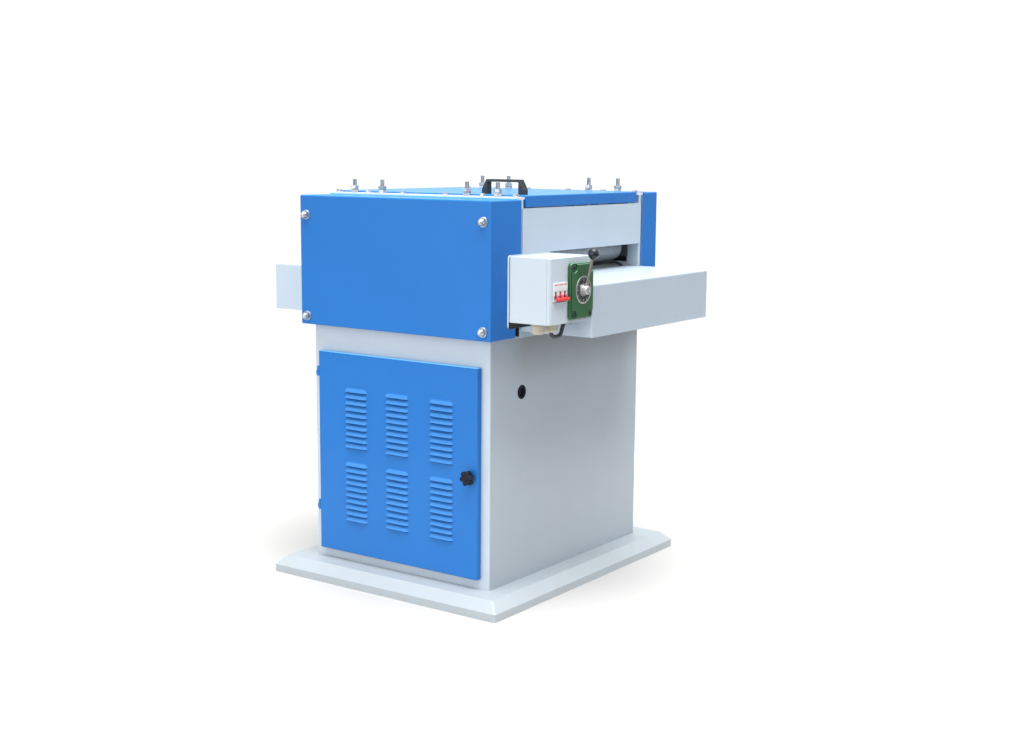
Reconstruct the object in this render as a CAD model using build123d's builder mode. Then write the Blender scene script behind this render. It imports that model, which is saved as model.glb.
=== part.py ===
"""Compact multi-blade rip saw on a sheet-metal cabinet.

Frame: X along the feed (timber enters at +X), -Y is the side with the cabinet
door, +Z up.  The origin is the centre of the plinth, on the floor.
All lengths are millimetres.
"""

import math
import os

from build123d import *

os.makedirs("parts", exist_ok=True)

# ---------------------------------------------------------------- dimensions
BASE_X, BASE_Y = 348.0, 412.0        # half sizes of the plinth
RIM_H, BASE_H = 19.0, 42.5           # vertical rim, then a sloped shoulder to the top
SHOULDER = 24.0                      # how far the shoulder runs in
CAB_X, CAB_Y = 273.5, 332.5          # half sizes of the cabinet
CAB_TOP = 637.0
SHEET = 3.0

HEAD_X = 5.0                         # centre of the saw head along the feed
PLATE_X0, PLATE_X1 = -284.5, 294.5   # side plates
NEAR_Y0, NEAR_Y1 = -248.0, -236.0
FAR_Y0, FAR_Y1 = 288.0, 300.0
DECK_TOP = 649.0
HEAD_TOP = 958.0                     # top of the side plates and covers
RAIL_T = 5.5                         # cap rail thickness
RAIL_TOP = HEAD_TOP + RAIL_T

COVER_X0, COVER_X1 = -287.7, 297.7
COVER_Z0 = 639.0
NEAR_COVER_Y, FAR_COVER_Y = -365.5, 377.6
FAR_COVER_TOP = 964.3                # the far cover stands level with the cap rail

TABLE_TOP, TABLE_BOT = 773.5, 653.4
TABLE_Y0, TABLE_Y1 = -246.0, 300.0
IN_X0, IN_X1 = 298.0, 494.0
OUT_X0, OUT_X1 = -494.0, -288.0
TONGUE_Y0, TONGUE_Y1 = -234.0, 286.0

ROLLER_X = [-216.0, -126.0, 136.0, 226.0]
ROLLER_R = 34.0
LOWER_Z, UPPER_Z = 744.0, 822.0
JOURNAL_R = 12.5
LIFT = 15.0                          # travel of each upper roller
SLOT_W, SLOT_Z0 = 70.0, 783.5        # guide slots for the upper bearing blocks
STUD_Y = [-242.0, 294.0]
STUD_TOP = [RAIL_TOP + 33.0, RAIL_TOP + 36.5]

ARBOR_Z = 720.0
BLADE_R, BLADE_T = 95.0, 2.4
BLADE_Y = [-134.0 + 40.0 * k for k in range(9)]
PULLEY_Y0, PULLEY_Y1 = -324.5, -279.5
GROOVE_Y = [-315.5, -302.0, -288.5]
ARBOR_PITCH_R, MOTOR_PITCH_R = 50.0, 75.0
MOTOR_Z = 202.5                      # shaft height 160 above the plinth top

SPROCKET_R = 30.54                   # 15 teeth on 12.7 pitch
ROW_1, ROW_2 = 311.0, 326.0          # the two chain rows
DRIVE_X, DRIVE_Z = -155.0, 565.0     # feed gearmotor output

DOOR_X0, DOOR_X1 = -247.6, 249.0
DOOR_Z0, DOOR_Z1 = 67.0, 573.6
DOOR_Y = -348.5                      # door's outer face
HINGE_X, HINGE_Y = -253.2, -341.0    # door hinge axis
HINGE_Z = [520.0, 177.0]
HINGE_HALF = 12.5                    # length of each half of a barrel
KNOB_X, KNOB_Z = 230.6, 314.5
LOUVRE_X = [-124.0, 6.8, 142.8]      # column centres
LOUVRE_Z = [413.4, 226.4]            # row centres
LOUVRE_W, LOUVRE_PITCH, LOUVRE_N = 71.0, 15.55, 10

LID_X0, LID_X1 = -285.0, 298.5
LID_Y0, LID_Y1 = -229.0, 271.5
LID_Z0, LID_Z1 = 940.0, 967.0
LID_AXIS_Y, LID_AXIS_Z = 275.9, 963.0

BOX_X0, BOX_X1 = 381.0, 488.0        # control box
BOX_Y0, BOX_Y1 = -410.0, -246.0
BOX_Z0, BOX_Z1 = 695.0, 840.0
SWITCH_Y, SWITCH_Z = -296.3, 766.5   # rotary switch axis
BREAKER_Y0, BREAKER_Y1 = -399.5, -345.5
BREAKER_Z0, BREAKER_Z1 = 745.4, 787.0
GLAND_X, GLAND_Y = 434.5, [-375.0, -325.0]
CABLE_R, CABLE_ENTRY_Z = 4.5, 687.4  # lead from the second gland to the table apron

SPIGOT_Z, SPIGOT_R = 500.0, 62.5     # dust outlet on the far wall


# ------------------------------------------------------------------- helpers
def block(x0, x1, y0, y1, z0, z1, mode=Mode.ADD):
    """Box between two corners."""
    with Locations(((x0 + x1) / 2, (y0 + y1) / 2, (z0 + z1) / 2)):
        return Box(x1 - x0, y1 - y0, z1 - z0, mode=mode)


def rod_x(y, z, r, x0, x1, mode=Mode.ADD):
    with Locations(((x0 + x1) / 2, y, z)):
        return Cylinder(r, x1 - x0, rotation=(0, 90, 0), mode=mode)


def rod_y(x, z, r, y0, y1, mode=Mode.ADD):
    with Locations((x, (y0 + y1) / 2, z)):
        return Cylinder(r, y1 - y0, rotation=(90, 0, 0), mode=mode)


def rod_z(x, y, r, z0, z1, mode=Mode.ADD):
    with Locations((x, y, (z0 + z1) / 2)):
        return Cylinder(r, z1 - z0, mode=mode)


def wall_plane(y):
    """Upright plane at y: local u is X, local v is Z, and it faces -Y."""
    return Plane(origin=(0, y, 0), x_dir=(1, 0, 0), z_dir=(0, -1, 0))


def end_plane(x):
    """Upright plane at x: local u is Y, local v is Z, and it faces +X."""
    return Plane(origin=(x, 0, 0), x_dir=(0, 1, 0), z_dir=(1, 0, 0))


def turned(x, z, points, mode=Mode.ADD):
    """Solid turned about the line through (x, z) along Y from (y, radius) points."""
    with BuildSketch(Plane(origin=(x, 0, z), x_dir=(0, 1, 0), z_dir=(1, 0, 0))) as profile:
        with BuildLine():
            Polyline(*points, close=True)
        make_face()
    return revolve(profile.sketch, axis=Axis((x, 0, z), (0, 1, 0)), mode=mode)


def turned_z(x, y, points, mode=Mode.ADD):
    """Solid turned about the upright line through (x, y) from (radius, z) points."""
    with BuildSketch(Plane(origin=(x, y, 0), x_dir=(1, 0, 0), z_dir=(0, -1, 0))) as profile:
        with BuildLine():
            Polyline(*points, close=True)
        make_face()
    return revolve(profile.sketch, axis=Axis((x, y, 0), (0, 0, 1)), mode=mode)


def tangent_spans(circles):
    """Outer tangent points of a convex counter-clockwise ring of (u, v, r) circles."""
    spans = []
    for i, (u0, v0, r0) in enumerate(circles):
        u1, v1, r1 = circles[(i + 1) % len(circles)]
        length = math.hypot(u1 - u0, v1 - v0)
        du, dv = (u1 - u0) / length, (v1 - v0) / length
        c = (r0 - r1) / length
        s = math.sqrt(1 - c * c)
        nu, nv = du * c + dv * s, dv * c - du * s
        spans.append(((u0 + r0 * nu, v0 + r0 * nv), (u1 + r1 * nu, v1 + r1 * nv)))
    return spans


def loop_face(circles, y):
    """Face inside the tight loop round the circles, on the upright plane at y."""
    spans = tangent_spans(circles)
    with BuildSketch(wall_plane(y)) as ring:
        with BuildLine():
            for i, (start, end) in enumerate(spans):
                Line(start, end)
                cu, cv, r = circles[(i + 1) % len(circles)]
                nxt = spans[(i + 1) % len(circles)][0]
                a0 = math.atan2(end[1] - cv, end[0] - cu)
                a1 = math.atan2(nxt[1] - cv, nxt[0] - cu)
                while a1 <= a0:
                    a1 += 2 * math.pi
                am = (a0 + a1) / 2
                ThreePointArc(end, (cu + r * math.cos(am), cv + r * math.sin(am)), nxt)
        make_face()
    return ring.sketch


def band(circles, y0, y1, inner, outer):
    """Flat loop between y0 and y1: pitch circles grown by outer, less those shrunk by inner."""
    grown = [(u, v, r + outer) for u, v, r in circles]
    shrunk = [(u, v, r - inner) for u, v, r in circles]
    extrude(loop_face(grown, y1), amount=y1 - y0, mode=Mode.ADD)
    extrude(loop_face(shrunk, y1), amount=y1 - y0, mode=Mode.SUBTRACT)


def hex_z(x, y, z, across, height, mode=Mode.ADD):
    with BuildSketch(Plane.XY.offset(z)) as flats:
        with Locations((x, y)):
            RegularPolygon(across / math.sqrt(3), 6)
    return extrude(flats.sketch, amount=height, mode=mode)


def sprocket(x, z, row):
    """15-tooth chain wheel, 7 thick, centred on a chain row."""
    with BuildSketch(wall_plane(row + 3.5)) as wheel:
        with Locations((x, z)):
            Circle(SPROCKET_R + 2.6)
            with PolarLocations(SPROCKET_R, 15):
                Circle(4.3, mode=Mode.SUBTRACT)
    return extrude(wheel.sketch, amount=7.0)


def save(builder, name):
    builder.part.label = name
    export_step(builder.part, f"parts/{name}.step")


# --------------------------------------------------------------------- plinth
with BuildPart() as base_plinth:
    with BuildSketch(Plane.XY):
        RectangleRounded(2 * BASE_X, 2 * BASE_Y, 5)
    extrude(amount=RIM_H)
    with BuildSketch(Plane.XY.offset(RIM_H)):
        RectangleRounded(2 * BASE_X, 2 * BASE_Y, 5)
    with BuildSketch(Plane.XY.offset(BASE_H)):
        RectangleRounded(2 * (BASE_X - SHOULDER), 2 * (BASE_Y - SHOULDER), 5)
    loft()
    fillet(base_plinth.edges().filter_by_position(Axis.Z, BASE_H - 0.1, BASE_H + 0.1), 3)
    # hollow underside, 6 mm walls
    block(-BASE_X + 6, BASE_X - 6, -BASE_Y + 6, BASE_Y - 6, -1, 16.5, mode=Mode.SUBTRACT)
    with BuildSketch(Plane.XY.offset(16.5)):
        Rectangle(2 * (BASE_X - 6), 2 * (BASE_Y - 6))
    with BuildSketch(Plane.XY.offset(36.5)):
        Rectangle(2 * (BASE_X - 26), 2 * (BASE_Y - 26))
    loft(mode=Mode.SUBTRACT)
save(base_plinth, "base_plinth")

with BuildPart() as foot_plate:
    block(-BASE_X + 6, BASE_X - 6, -BASE_Y + 6, BASE_Y - 6, 0, 6)
save(foot_plate, "foot_plate")

# -------------------------------------------------------------------- cabinet
with BuildPart() as cabinet_shell:
    block(-CAB_X, CAB_X, -CAB_Y, CAB_Y, BASE_H, CAB_TOP)
    fillet(cabinet_shell.edges().filter_by(Axis.Z), 5)
    block(-CAB_X + SHEET, CAB_X - SHEET, -CAB_Y + SHEET, CAB_Y - SHEET, BASE_H - 1, CAB_TOP + 1,
          mode=Mode.SUBTRACT)
    # foot flanges and the two ledges that carry the head
    for side in (-1, 1):
        x0, x1 = sorted((side * (CAB_X - SHEET), side * (CAB_X - 33)))
        block(x0, x1, -CAB_Y + SHEET, CAB_Y - SHEET, BASE_H, BASE_H + SHEET)
        block(x0, x1, -247, 299, CAB_TOP - 4, CAB_TOP)
    # door opening, cable hole in the infeed wall, dust outlet in the far wall
    block(-225, 242, -CAB_Y - 1, -CAB_Y + SHEET + 1, 90, 551, mode=Mode.SUBTRACT)
    rod_x(-206, 502, 15, CAB_X - SHEET - 1, CAB_X + 1, mode=Mode.SUBTRACT)
    rod_y(HEAD_X, SPIGOT_Z, SPIGOT_R + 0.5, CAB_Y - SHEET - 1, CAB_Y + 1, mode=Mode.SUBTRACT)
save(cabinet_shell, "cabinet_shell")

with BuildPart() as head_deck:
    block(PLATE_X0, PLATE_X1, NEAR_Y0, FAR_Y1, CAB_TOP, DECK_TOP)
    block(-86, 96, -158, 210, CAB_TOP - 1, DECK_TOP + 1, mode=Mode.SUBTRACT)
save(head_deck, "head_deck")

# ---------------------------------------------------------------- side plates
RAIL_BOLT_X = [HEAD_X + s * d for d in (66, 176, 273) for s in (-1, 1)]
COVER_STUD_X = [HEAD_X - 271, HEAD_X + 271]
COVER_STUD_Z = [660.5, 910.0]

for plate_name, y0, y1, stud_y in (("side_plate_near", NEAR_Y0, NEAR_Y1, STUD_Y[0]),
                                   ("side_plate_far", FAR_Y0, FAR_Y1, STUD_Y[1])):
    with BuildPart() as side_plate:
        block(PLATE_X0, PLATE_X1, y0, y1, DECK_TOP, HEAD_TOP)
        for x in ROLLER_X:
            block(x - SLOT_W / 2, x + SLOT_W / 2, y0 - 1, y1 + 1, SLOT_Z0, HEAD_TOP + 1, mode=Mode.SUBTRACT)
            rod_y(x, LOWER_Z, 26, y0 - 1, y1 + 1, mode=Mode.SUBTRACT)
        rod_y(HEAD_X, ARBOR_Z, 40, y0 - 1, y1 + 1, mode=Mode.SUBTRACT)
        for x in COVER_STUD_X:
            for z in COVER_STUD_Z:
                rod_y(x, z, 5.05, y0 - 1, y1 + 1, mode=Mode.SUBTRACT)
        for x in RAIL_BOLT_X:
            rod_z(x, stud_y, 4.05, HEAD_TOP - 20, HEAD_TOP + 1, mode=Mode.SUBTRACT)
    save(side_plate, plate_name)

for panel_name, x0, x1, lip0, lip1 in (("front_panel", PLATE_X1, COVER_X1, 274.0, PLATE_X1),
                                       ("rear_panel", COVER_X0, PLATE_X0, PLATE_X0, -264.0)):
    with BuildPart() as panel:
        block(x0, x1, -242, 294, 833, 937.5)
        # stiffening lip folded inwards along the mouth
        block(lip0, lip1, -234, 286, 833, 836)
    save(panel, panel_name)

with BuildPart() as cap_rails:
    for y0, y1, stud_y in ((-259, -231, STUD_Y[0]), (280, 308, STUD_Y[1])):
        block(PLATE_X0, PLATE_X1, y0, y1, HEAD_TOP, RAIL_TOP)
        for x in ROLLER_X:
            rod_z(x, stud_y, 5.6, HEAD_TOP - 1, RAIL_TOP + 1, mode=Mode.SUBTRACT)
        for x in RAIL_BOLT_X:
            rod_z(x, stud_y, 4.3, HEAD_TOP - 1, RAIL_TOP + 1, mode=Mode.SUBTRACT)
save(cap_rails, "cap_rails")

with BuildPart() as rail_bolts:
    for y in STUD_Y:
        for x in RAIL_BOLT_X:
            rod_z(x, y, 4.0, HEAD_TOP - 18, RAIL_TOP + 1)
            hex_z(x, y, RAIL_TOP, 13, 5.3)
save(rail_bolts, "rail_bolts")

# ---------------------------------------------------------------- side covers
for cover_name, out, y0, y1, face in (("side_cover_near", -1, NEAR_COVER_Y, NEAR_Y0, NEAR_COVER_Y),
                                      ("side_cover_far", 1, FAR_Y1, FAR_COVER_Y, FAR_COVER_Y)):
    top = HEAD_TOP if out < 0 else FAR_COVER_TOP
    with BuildPart() as side_cover:
        block(COVER_X0, COVER_X1, y0, y1, COVER_Z0, top)
        face_edges = side_cover.edges().filter_by_position(Axis.Y, face - 0.1, face + 0.1)
        length_edges = side_cover.edges().filter_by(Axis.Y)
        fillet(face_edges + length_edges, 3.5)
        # open towards the side plate, and open below into the cabinet
        block(COVER_X0 + SHEET, COVER_X1 - SHEET, y0 + (SHEET if out < 0 else -1), y1 - (SHEET if out > 0 else -1),
              COVER_Z0 + SHEET, top - SHEET, mode=Mode.SUBTRACT)
        if out < 0:
            block(-268, 268, -330, NEAR_Y0 + 1, COVER_Z0 - 1, COVER_Z0 + SHEET + 1, mode=Mode.SUBTRACT)
            # lower rear corner cut away on the infeed end
            block(280, COVER_X1 + 1, NEAR_Y0 - 20.5, NEAR_Y0 + 1, COVER_Z0 - 1, 692, mode=Mode.SUBTRACT)
        else:
            block(-268, 268, FAR_Y1 - 1, 330, COVER_Z0 - 1, COVER_Z0 + SHEET + 1, mode=Mode.SUBTRACT)
            # top edge stepped down to pass under the cap rail
            block(COVER_X0 - 1, COVER_X1 + 1, FAR_Y1 - 1, FAR_Y1 + 10.5, HEAD_TOP, top + 1, mode=Mode.SUBTRACT)
        for x in COVER_STUD_X:
            for z in COVER_STUD_Z:
                rod_y(x, z, 5.5, face - 4, face + 4, mode=Mode.SUBTRACT)
        # notches round the pressure springs, hidden under the cap rail
        if out < 0:
            for x in ROLLER_X:
                block(x - 12, x + 12, NEAR_Y0 - 6, NEAR_Y0 + 1, HEAD_TOP - SHEET - 1, HEAD_TOP + 1, mode=Mode.SUBTRACT)
    save(side_cover, cover_name)

with BuildPart() as cover_fasteners:
    for out, seat, root in ((-1, NEAR_COVER_Y, NEAR_Y1), (1, FAR_COVER_Y, FAR_Y0)):
        for x in COVER_STUD_X:
            for z in COVER_STUD_Z:
                # stud, washer, and a dome nut over the stud's end
                y0, y1 = sorted((root, seat + out * 11.5))
                rod_y(x, z, 5.0, y0, y1)
                turned(x, z, [(seat, 5.1), (seat + out * 2.4, 5.1), (seat + out * 2.4, 12.0), (seat, 12.0)])
                with BuildSketch(wall_plane(seat + out * 2.45)) as flats:
                    with Locations((x, z)):
                        RegularPolygon(17 / math.sqrt(3), 6)
                        Circle(5.05, mode=Mode.SUBTRACT)
                extrude(flats.sketch, amount=-out * 8.0)
                nose = seat + out * 10.45
                turned(x, z, [(nose, 7.9), (nose + out * 3.0, 7.4), (nose + out * 5.6, 5.4), (nose + out * 7.2, 2.6),
                              (nose + out * 7.6, 0), (nose + out * 2.0, 0), (nose + out * 2.0, 5.05), (nose, 5.05)])
save(cover_fasteners, "cover_fasteners")

# --------------------------------------------------------------------- tables
for table_name, x0, x1, tip, outer in (("infeed_table", IN_X0, IN_X1, 262.0, IN_X1),
                                       ("outfeed_table", OUT_X0, OUT_X1, -252.0, OUT_X0)):
    inner = x0 if outer == x1 else x1
    with BuildPart() as table:
        block(x0, x1, TABLE_Y0, TABLE_Y1, TABLE_BOT, TABLE_TOP)
        rounded = (table.edges().filter_by(Axis.Z).filter_by_position(Axis.X, outer - 0.1, outer + 0.1)
                   + table.edges().filter_by(Axis.Y).filter_by_position(Axis.Z, TABLE_TOP - 0.1, TABLE_TOP + 0.1)
                   .filter_by_position(Axis.X, outer - 0.1, outer + 0.1)
                   + table.edges().filter_by(Axis.X).filter_by_position(Axis.Z, TABLE_TOP - 0.1, TABLE_TOP + 0.1))
        fillet(rounded, 5)
        block(x0 + 4, x1 - 4, TABLE_Y0 + 4, TABLE_Y1 - 4, TABLE_BOT - 1, TABLE_TOP - 4, mode=Mode.SUBTRACT)
        # tongue that runs in through the mouth, corners rounded
        with BuildSketch(Plane.XY.offset(TABLE_TOP - 4)) as tongue:
            with Locations(((tip + inner) / 2 + (20 if tip < inner else -20), (TONGUE_Y0 + TONGUE_Y1) / 2)):
                RectangleRounded(abs(inner - tip) + 40, TONGUE_Y1 - TONGUE_Y0, 26)
        extrude(amount=4)
        if table_name == "infeed_table":
            # cable hole in the near apron
            rod_y(GLAND_X, CABLE_ENTRY_Z, 6.2, TABLE_Y0 - 1, TABLE_Y0 + 5, mode=Mode.SUBTRACT)
    save(table, table_name)

with BuildPart() as table_ties:
    block(286, IN_X0, NEAR_Y1, FAR_Y0, DECK_TOP, TABLE_TOP - 4)
    block(OUT_X1, -276, NEAR_Y1, FAR_Y0, DECK_TOP, TABLE_TOP - 4)
save(table_ties, "table_ties")

with BuildPart() as bed_plate:
    block(-96, 106, NEAR_Y1, FAR_Y0, 768, 776)
    for y in BLADE_Y:
        block(-83, 93, y - 3.2, y + 3.2, 767, 777, mode=Mode.SUBTRACT)
save(bed_plate, "bed_plate")

# ---------------------------------------------------------------- control box
with BuildPart() as control_box:
    block(BOX_X0, BOX_X1, BOX_Y0, BOX_Y1, BOX_Z0, BOX_Z1)
    fillet(control_box.edges().filter_by(Axis.Z).sort_by(Axis.Y)[:2].sort_by(Axis.X)[-1:], 7)
    fillet(control_box.edges().filter_by(Axis.X).group_by(Axis.Y)[0], 2)
    block(BOX_X0 - 1, BOX_X1 - 2.5, BOX_Y0 + 2.5, BOX_Y1 - 2.5, BOX_Z0 + 2.5, BOX_Z1 - 2.5, mode=Mode.SUBTRACT)
    block(BOX_X1 - 4, BOX_X1 + 1, BREAKER_Y0 - 0.2, BREAKER_Y1 + 0.2, BREAKER_Z0 - 0.2, BREAKER_Z1 + 0.2,
          mode=Mode.SUBTRACT)
    rod_x(SWITCH_Y, SWITCH_Z, 30.2, BOX_X1 - 4, BOX_X1 + 1, mode=Mode.SUBTRACT)
    for y in GLAND_Y:
        rod_z(GLAND_X, y, 10.2, BOX_Z0 - 1, BOX_Z0 + 4, mode=Mode.SUBTRACT)
save(control_box, "control_box")

with BuildPart() as box_back_plate:
    with BuildSketch(end_plane(BOX_X0 - 3)):
        with Locations(((BOX_Y0 - 3 + BOX_Y1) / 2, (681 + 842.5) / 2)):
            RectangleRounded(BOX_Y1 - BOX_Y0 + 3, 842.5 - 681, 7)
    extrude(amount=3)
save(box_back_plate, "box_back_plate")

with BuildPart() as breaker_body:
    # body on its rail inside the box, stepped nose through the box front
    block(412, BOX_X1 - 2.6, BREAKER_Y0 + 0.4, BREAKER_Y1 - 0.4, 722, 806)
    block(BOX_X1 - 3, BOX_X1 + 3.5, BREAKER_Y0, BREAKER_Y1, BREAKER_Z0, BREAKER_Z1)
    block(BOX_X0, 412.0, BREAKER_Y0 + 4, BREAKER_Y1 - 4, 746.5, 781.5)
    # troughs that the toggles tip in
    for k in range(3):
        y = BREAKER_Y0 + 9 + 18 * k
        block(BOX_X1 - 8, BOX_X1 + 5, y - 3.6, y + 3.6, BREAKER_Z0 + 3, BREAKER_Z1 - 6, mode=Mode.SUBTRACT)
    # lower half of the nose stands back so that the tie bar has room
    block(BOX_X1 + 1.0, BOX_X1 + 5, BREAKER_Y0 - 1, BREAKER_Y1 + 1, BREAKER_Z0 - 1, BREAKER_Z0 + 13.1, mode=Mode.SUBTRACT)
save(breaker_body, "breaker_body")

TOGGLE_X, TOGGLE_Z = BOX_X1 - 0.5, BREAKER_Z0 + 19.1
with BuildPart() as breaker_toggle:
    for k in range(3):
        y = BREAKER_Y0 + 9 + 18 * k
        rod_y(TOGGLE_X, TOGGLE_Z, 5.4, y - 3.0, y + 3.0)
        with BuildSketch(wall_plane(y + 3.0)) as arm:
            with BuildLine():
                Polyline((TOGGLE_X, TOGGLE_Z + 5.0), (TOGGLE_X + 8.0, TOGGLE_Z - 6.5), (TOGGLE_X + 12, TOGGLE_Z - 11.0),
                         (TOGGLE_X + 9.3, TOGGLE_Z - 16.4), (TOGGLE_X + 4.5, TOGGLE_Z - 11.5), (TOGGLE_X - 3, TOGGLE_Z - 4.5),
                         close=True)
            make_face()
        extrude(arm.sketch, amount=6.0)
    # tie bar across the three levers
    with BuildSketch(wall_plane(BREAKER_Y1 - 0.1)) as bar:
        with Locations((TOGGLE_X + 8.8, TOGGLE_Z - 13.0)):
            RectangleRounded(8.0, 7.4, 1.6)
    extrude(bar.sketch, amount=BREAKER_Y1 - BREAKER_Y0 - 0.2)
save(breaker_toggle, "breaker_toggle")

# -------------------------------------------------------------- rotary switch
SW_Y0, SW_Y1, SW_Z0, SW_Z1 = -341.5, -251.5, 701.8, 827.3
SW_X0, SW_X1 = BOX_X1, 500.5
SW_CORNERS = [((SW_Y0 + SW_Y1) / 2 + sy * 34.4, (SW_Z0 + SW_Z1) / 2 + sz * 52.7) for sy in (-1, 1) for sz in (-1, 1)]
with BuildPart() as switch_body:
    with BuildSketch(end_plane(SW_X0)):
        with Locations(((SW_Y0 + SW_Y1) / 2, (SW_Z0 + SW_Z1) / 2)):
            RectangleRounded(SW_Y1 - SW_Y0, SW_Z1 - SW_Z0, 9)
    extrude(amount=9.0)
    # raised panel with cut-away corners for the screws
    with BuildSketch(end_plane(SW_X0 + 8.5)) as raised:
        with Locations(((SW_Y0 + SW_Y1) / 2, (SW_Z0 + SW_Z1) / 2)):
            RectangleRounded(SW_Y1 - SW_Y0 - 7, SW_Z1 - SW_Z0 - 7, 7)
        with Locations(*SW_CORNERS):
            Circle(11.5, mode=Mode.SUBTRACT)
    extrude(amount=4.0)
    fillet(switch_body.faces().sort_by(Axis.X)[-1].outer_wire().edges(), 1.2)
    for y, z in SW_CORNERS:
        rod_x(y, z, 5.2, SW_X0 + 4, SW_X1 + 1, mode=Mode.SUBTRACT)
        rod_x(y, z, 4.4, SW_X0 + 3, SW_X0 + 7)
    # drum behind the box front
    rod_x(SWITCH_Y, SWITCH_Z, 30.0, BOX_X1 - 52, BOX_X1 + 1)
save(switch_body, "switch_body")

with BuildPart() as switch_dial:
    rod_x(SWITCH_Y, SWITCH_Z, 31.0, SW_X1, SW_X1 + 1.6)
    rod_x(SWITCH_Y, SWITCH_Z, 12.4, SW_X1 - 1, SW_X1 + 3, mode=Mode.SUBTRACT)
save(switch_dial, "switch_dial")

LEVER_FOOT, BALL = Vector(506.5, SWITCH_Y, SWITCH_Z + 4), Vector(526.0, SWITCH_Y, 848.5)
LEVER_DIR = (BALL - LEVER_FOOT).normalized()
with BuildPart() as switch_lever:
    with BuildSketch(Plane(origin=(0, SWITCH_Y, SWITCH_Z), x_dir=(1, 0, 0), z_dir=(0, -1, 0))) as hub_half:
        with BuildLine():
            Polyline((SW_X1 + 0.3, 0), (SW_X1 + 0.3, 12.0), (SW_X1 + 4, 12.0), (SW_X1 + 4.6, 11.2), (SW_X1 + 13.0, 11.2),
                     (SW_X1 + 14.5, 9.7), (SW_X1 + 14.5, 0), close=True)
        make_face()
    revolve(hub_half.sketch, axis=Axis((0, SWITCH_Y, SWITCH_Z), (1, 0, 0)))
    with BuildSketch(Plane(origin=LEVER_FOOT, z_dir=LEVER_DIR)) as rod_end:
        Circle(3.6)
    extrude(rod_end.sketch, amount=(BALL - LEVER_FOOT).length - 6)
save(switch_lever, "switch_lever")

with BuildPart() as lever_ball:
    with Locations(BALL):
        Sphere(12.5)
    with BuildSketch(Plane(origin=BALL - LEVER_DIR * 14.5, z_dir=LEVER_DIR)) as neck:
        Circle(6.0)
    extrude(neck.sketch, amount=8)
    with BuildSketch(Plane(origin=BALL - LEVER_DIR * 20, z_dir=LEVER_DIR)) as socket:
        Circle(3.65)
    extrude(socket.sketch, amount=14.2, mode=Mode.SUBTRACT)
save(lever_ball, "lever_ball")

# ------------------------------------------------------------ cable and seals
with BuildPart() as cable_fittings:
    for y in GLAND_Y:
        # flange nut and dome under the box, locknut above
        hex_z(GLAND_X, y, 687.0, 30, 8.0)
        turned_z(GLAND_X, y, [(0, 669.5), (11.5, 669.5), (14.6, 672.5), (15.2, 687.0), (0, 687.0)])
        rod_z(GLAND_X, y, 10.0, 687, 706)
        hex_z(GLAND_X, y, BOX_Z0 + 2.5, 27, 5.0)
    rod_z(GLAND_X, GLAND_Y[1], CABLE_R + 0.1, 660, 710, mode=Mode.SUBTRACT)
    # rubber grommet in the cabinet wall
    turned_points = [(CAB_X - 6, 9.5), (CAB_X + 2.4, 9.5), (CAB_X + 2.4, 17.8), (CAB_X, 17.8), (CAB_X, 15.0),
                     (CAB_X - SHEET, 15.0), (CAB_X - SHEET, 17.8), (CAB_X - 6, 17.8)]
    with BuildSketch(Plane(origin=(0, -206, 502), x_dir=(1, 0, 0), z_dir=(0, -1, 0))) as grommet:
        with BuildLine():
            Polyline(*turned_points, close=True)
        make_face()
    revolve(grommet.sketch, axis=Axis((0, -206, 502), (1, 0, 0)))
    # thin web closing the grommet
    rod_x(-206, 502, 9.8, CAB_X - 4.5, CAB_X - 2.5)
    # grommet in the table apron
    turned(GLAND_X, CABLE_ENTRY_Z, [(TABLE_Y0 - 1.6, CABLE_R + 0.1), (TABLE_Y0 + 6.5, CABLE_R + 0.1), (TABLE_Y0 + 6.5, 9.5),
                                    (TABLE_Y0 + 4, 9.5), (TABLE_Y0 + 4, 6.2), (TABLE_Y0, 6.2), (TABLE_Y0, 7.2), (TABLE_Y0 - 1.6, 7.2)])
save(cable_fittings, "cable_fittings")

with BuildPart() as control_cable:
    cable_points = [(GLAND_X, GLAND_Y[1], 704), (GLAND_X, GLAND_Y[1], 654.5), (GLAND_X, -277, 654.5),
                    (GLAND_X, -270, CABLE_ENTRY_Z), (GLAND_X, -221, CABLE_ENTRY_Z), (IN_X0 + 4, -221, CABLE_ENTRY_Z)]
    with BuildLine() as route:
        FilletPolyline(*cable_points, radius=[14.8, 19, 9.2, 14])
    with BuildSketch(Plane(origin=route.line @ 0, z_dir=route.line % 0)):
        Circle(CABLE_R)
    sweep()
save(control_cable, "control_cable")

# ---------------------------------------------------------------- main motor
with BuildPart() as motor_housing:
    turned(HEAD_X, MOTOR_Z, [(-236, 19.06), (-236, 60), (-226, 118), (-215, 138), (190, 138), (200, 132), (258, 132),
                             (262, 126), (262, 40), (250, 40), (250, 122), (205, 122), (205, 40), (180, 40), (180, 19.06),
                             (150, 19.06), (150, 76), (-150, 76), (-150, 19.06)])
    for x0, x1 in ((-122, -70), (80, 132)):
        block(x0, x1, -150, 150, BASE_H, 110)
    turned(HEAD_X, MOTOR_Z, [(-150, 0), (150, 0), (150, 76), (-150, 76)], mode=Mode.SUBTRACT)
    block(HEAD_X + 100, HEAD_X + 170, -60, 40, MOTOR_Z - 10, MOTOR_Z + 80)
    # cooling ribs
    for a in range(-60, 61, 12):
        rib = math.radians(90 + a)
        with BuildSketch(wall_plane(185)) as ribs:
            with Locations(Location((HEAD_X + 142 * math.cos(rib), MOTOR_Z + 142 * math.sin(rib)), 90 + a)):
                Rectangle(14, 4)
        extrude(ribs.sketch, amount=390)
save(motor_housing, "motor_housing")

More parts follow.
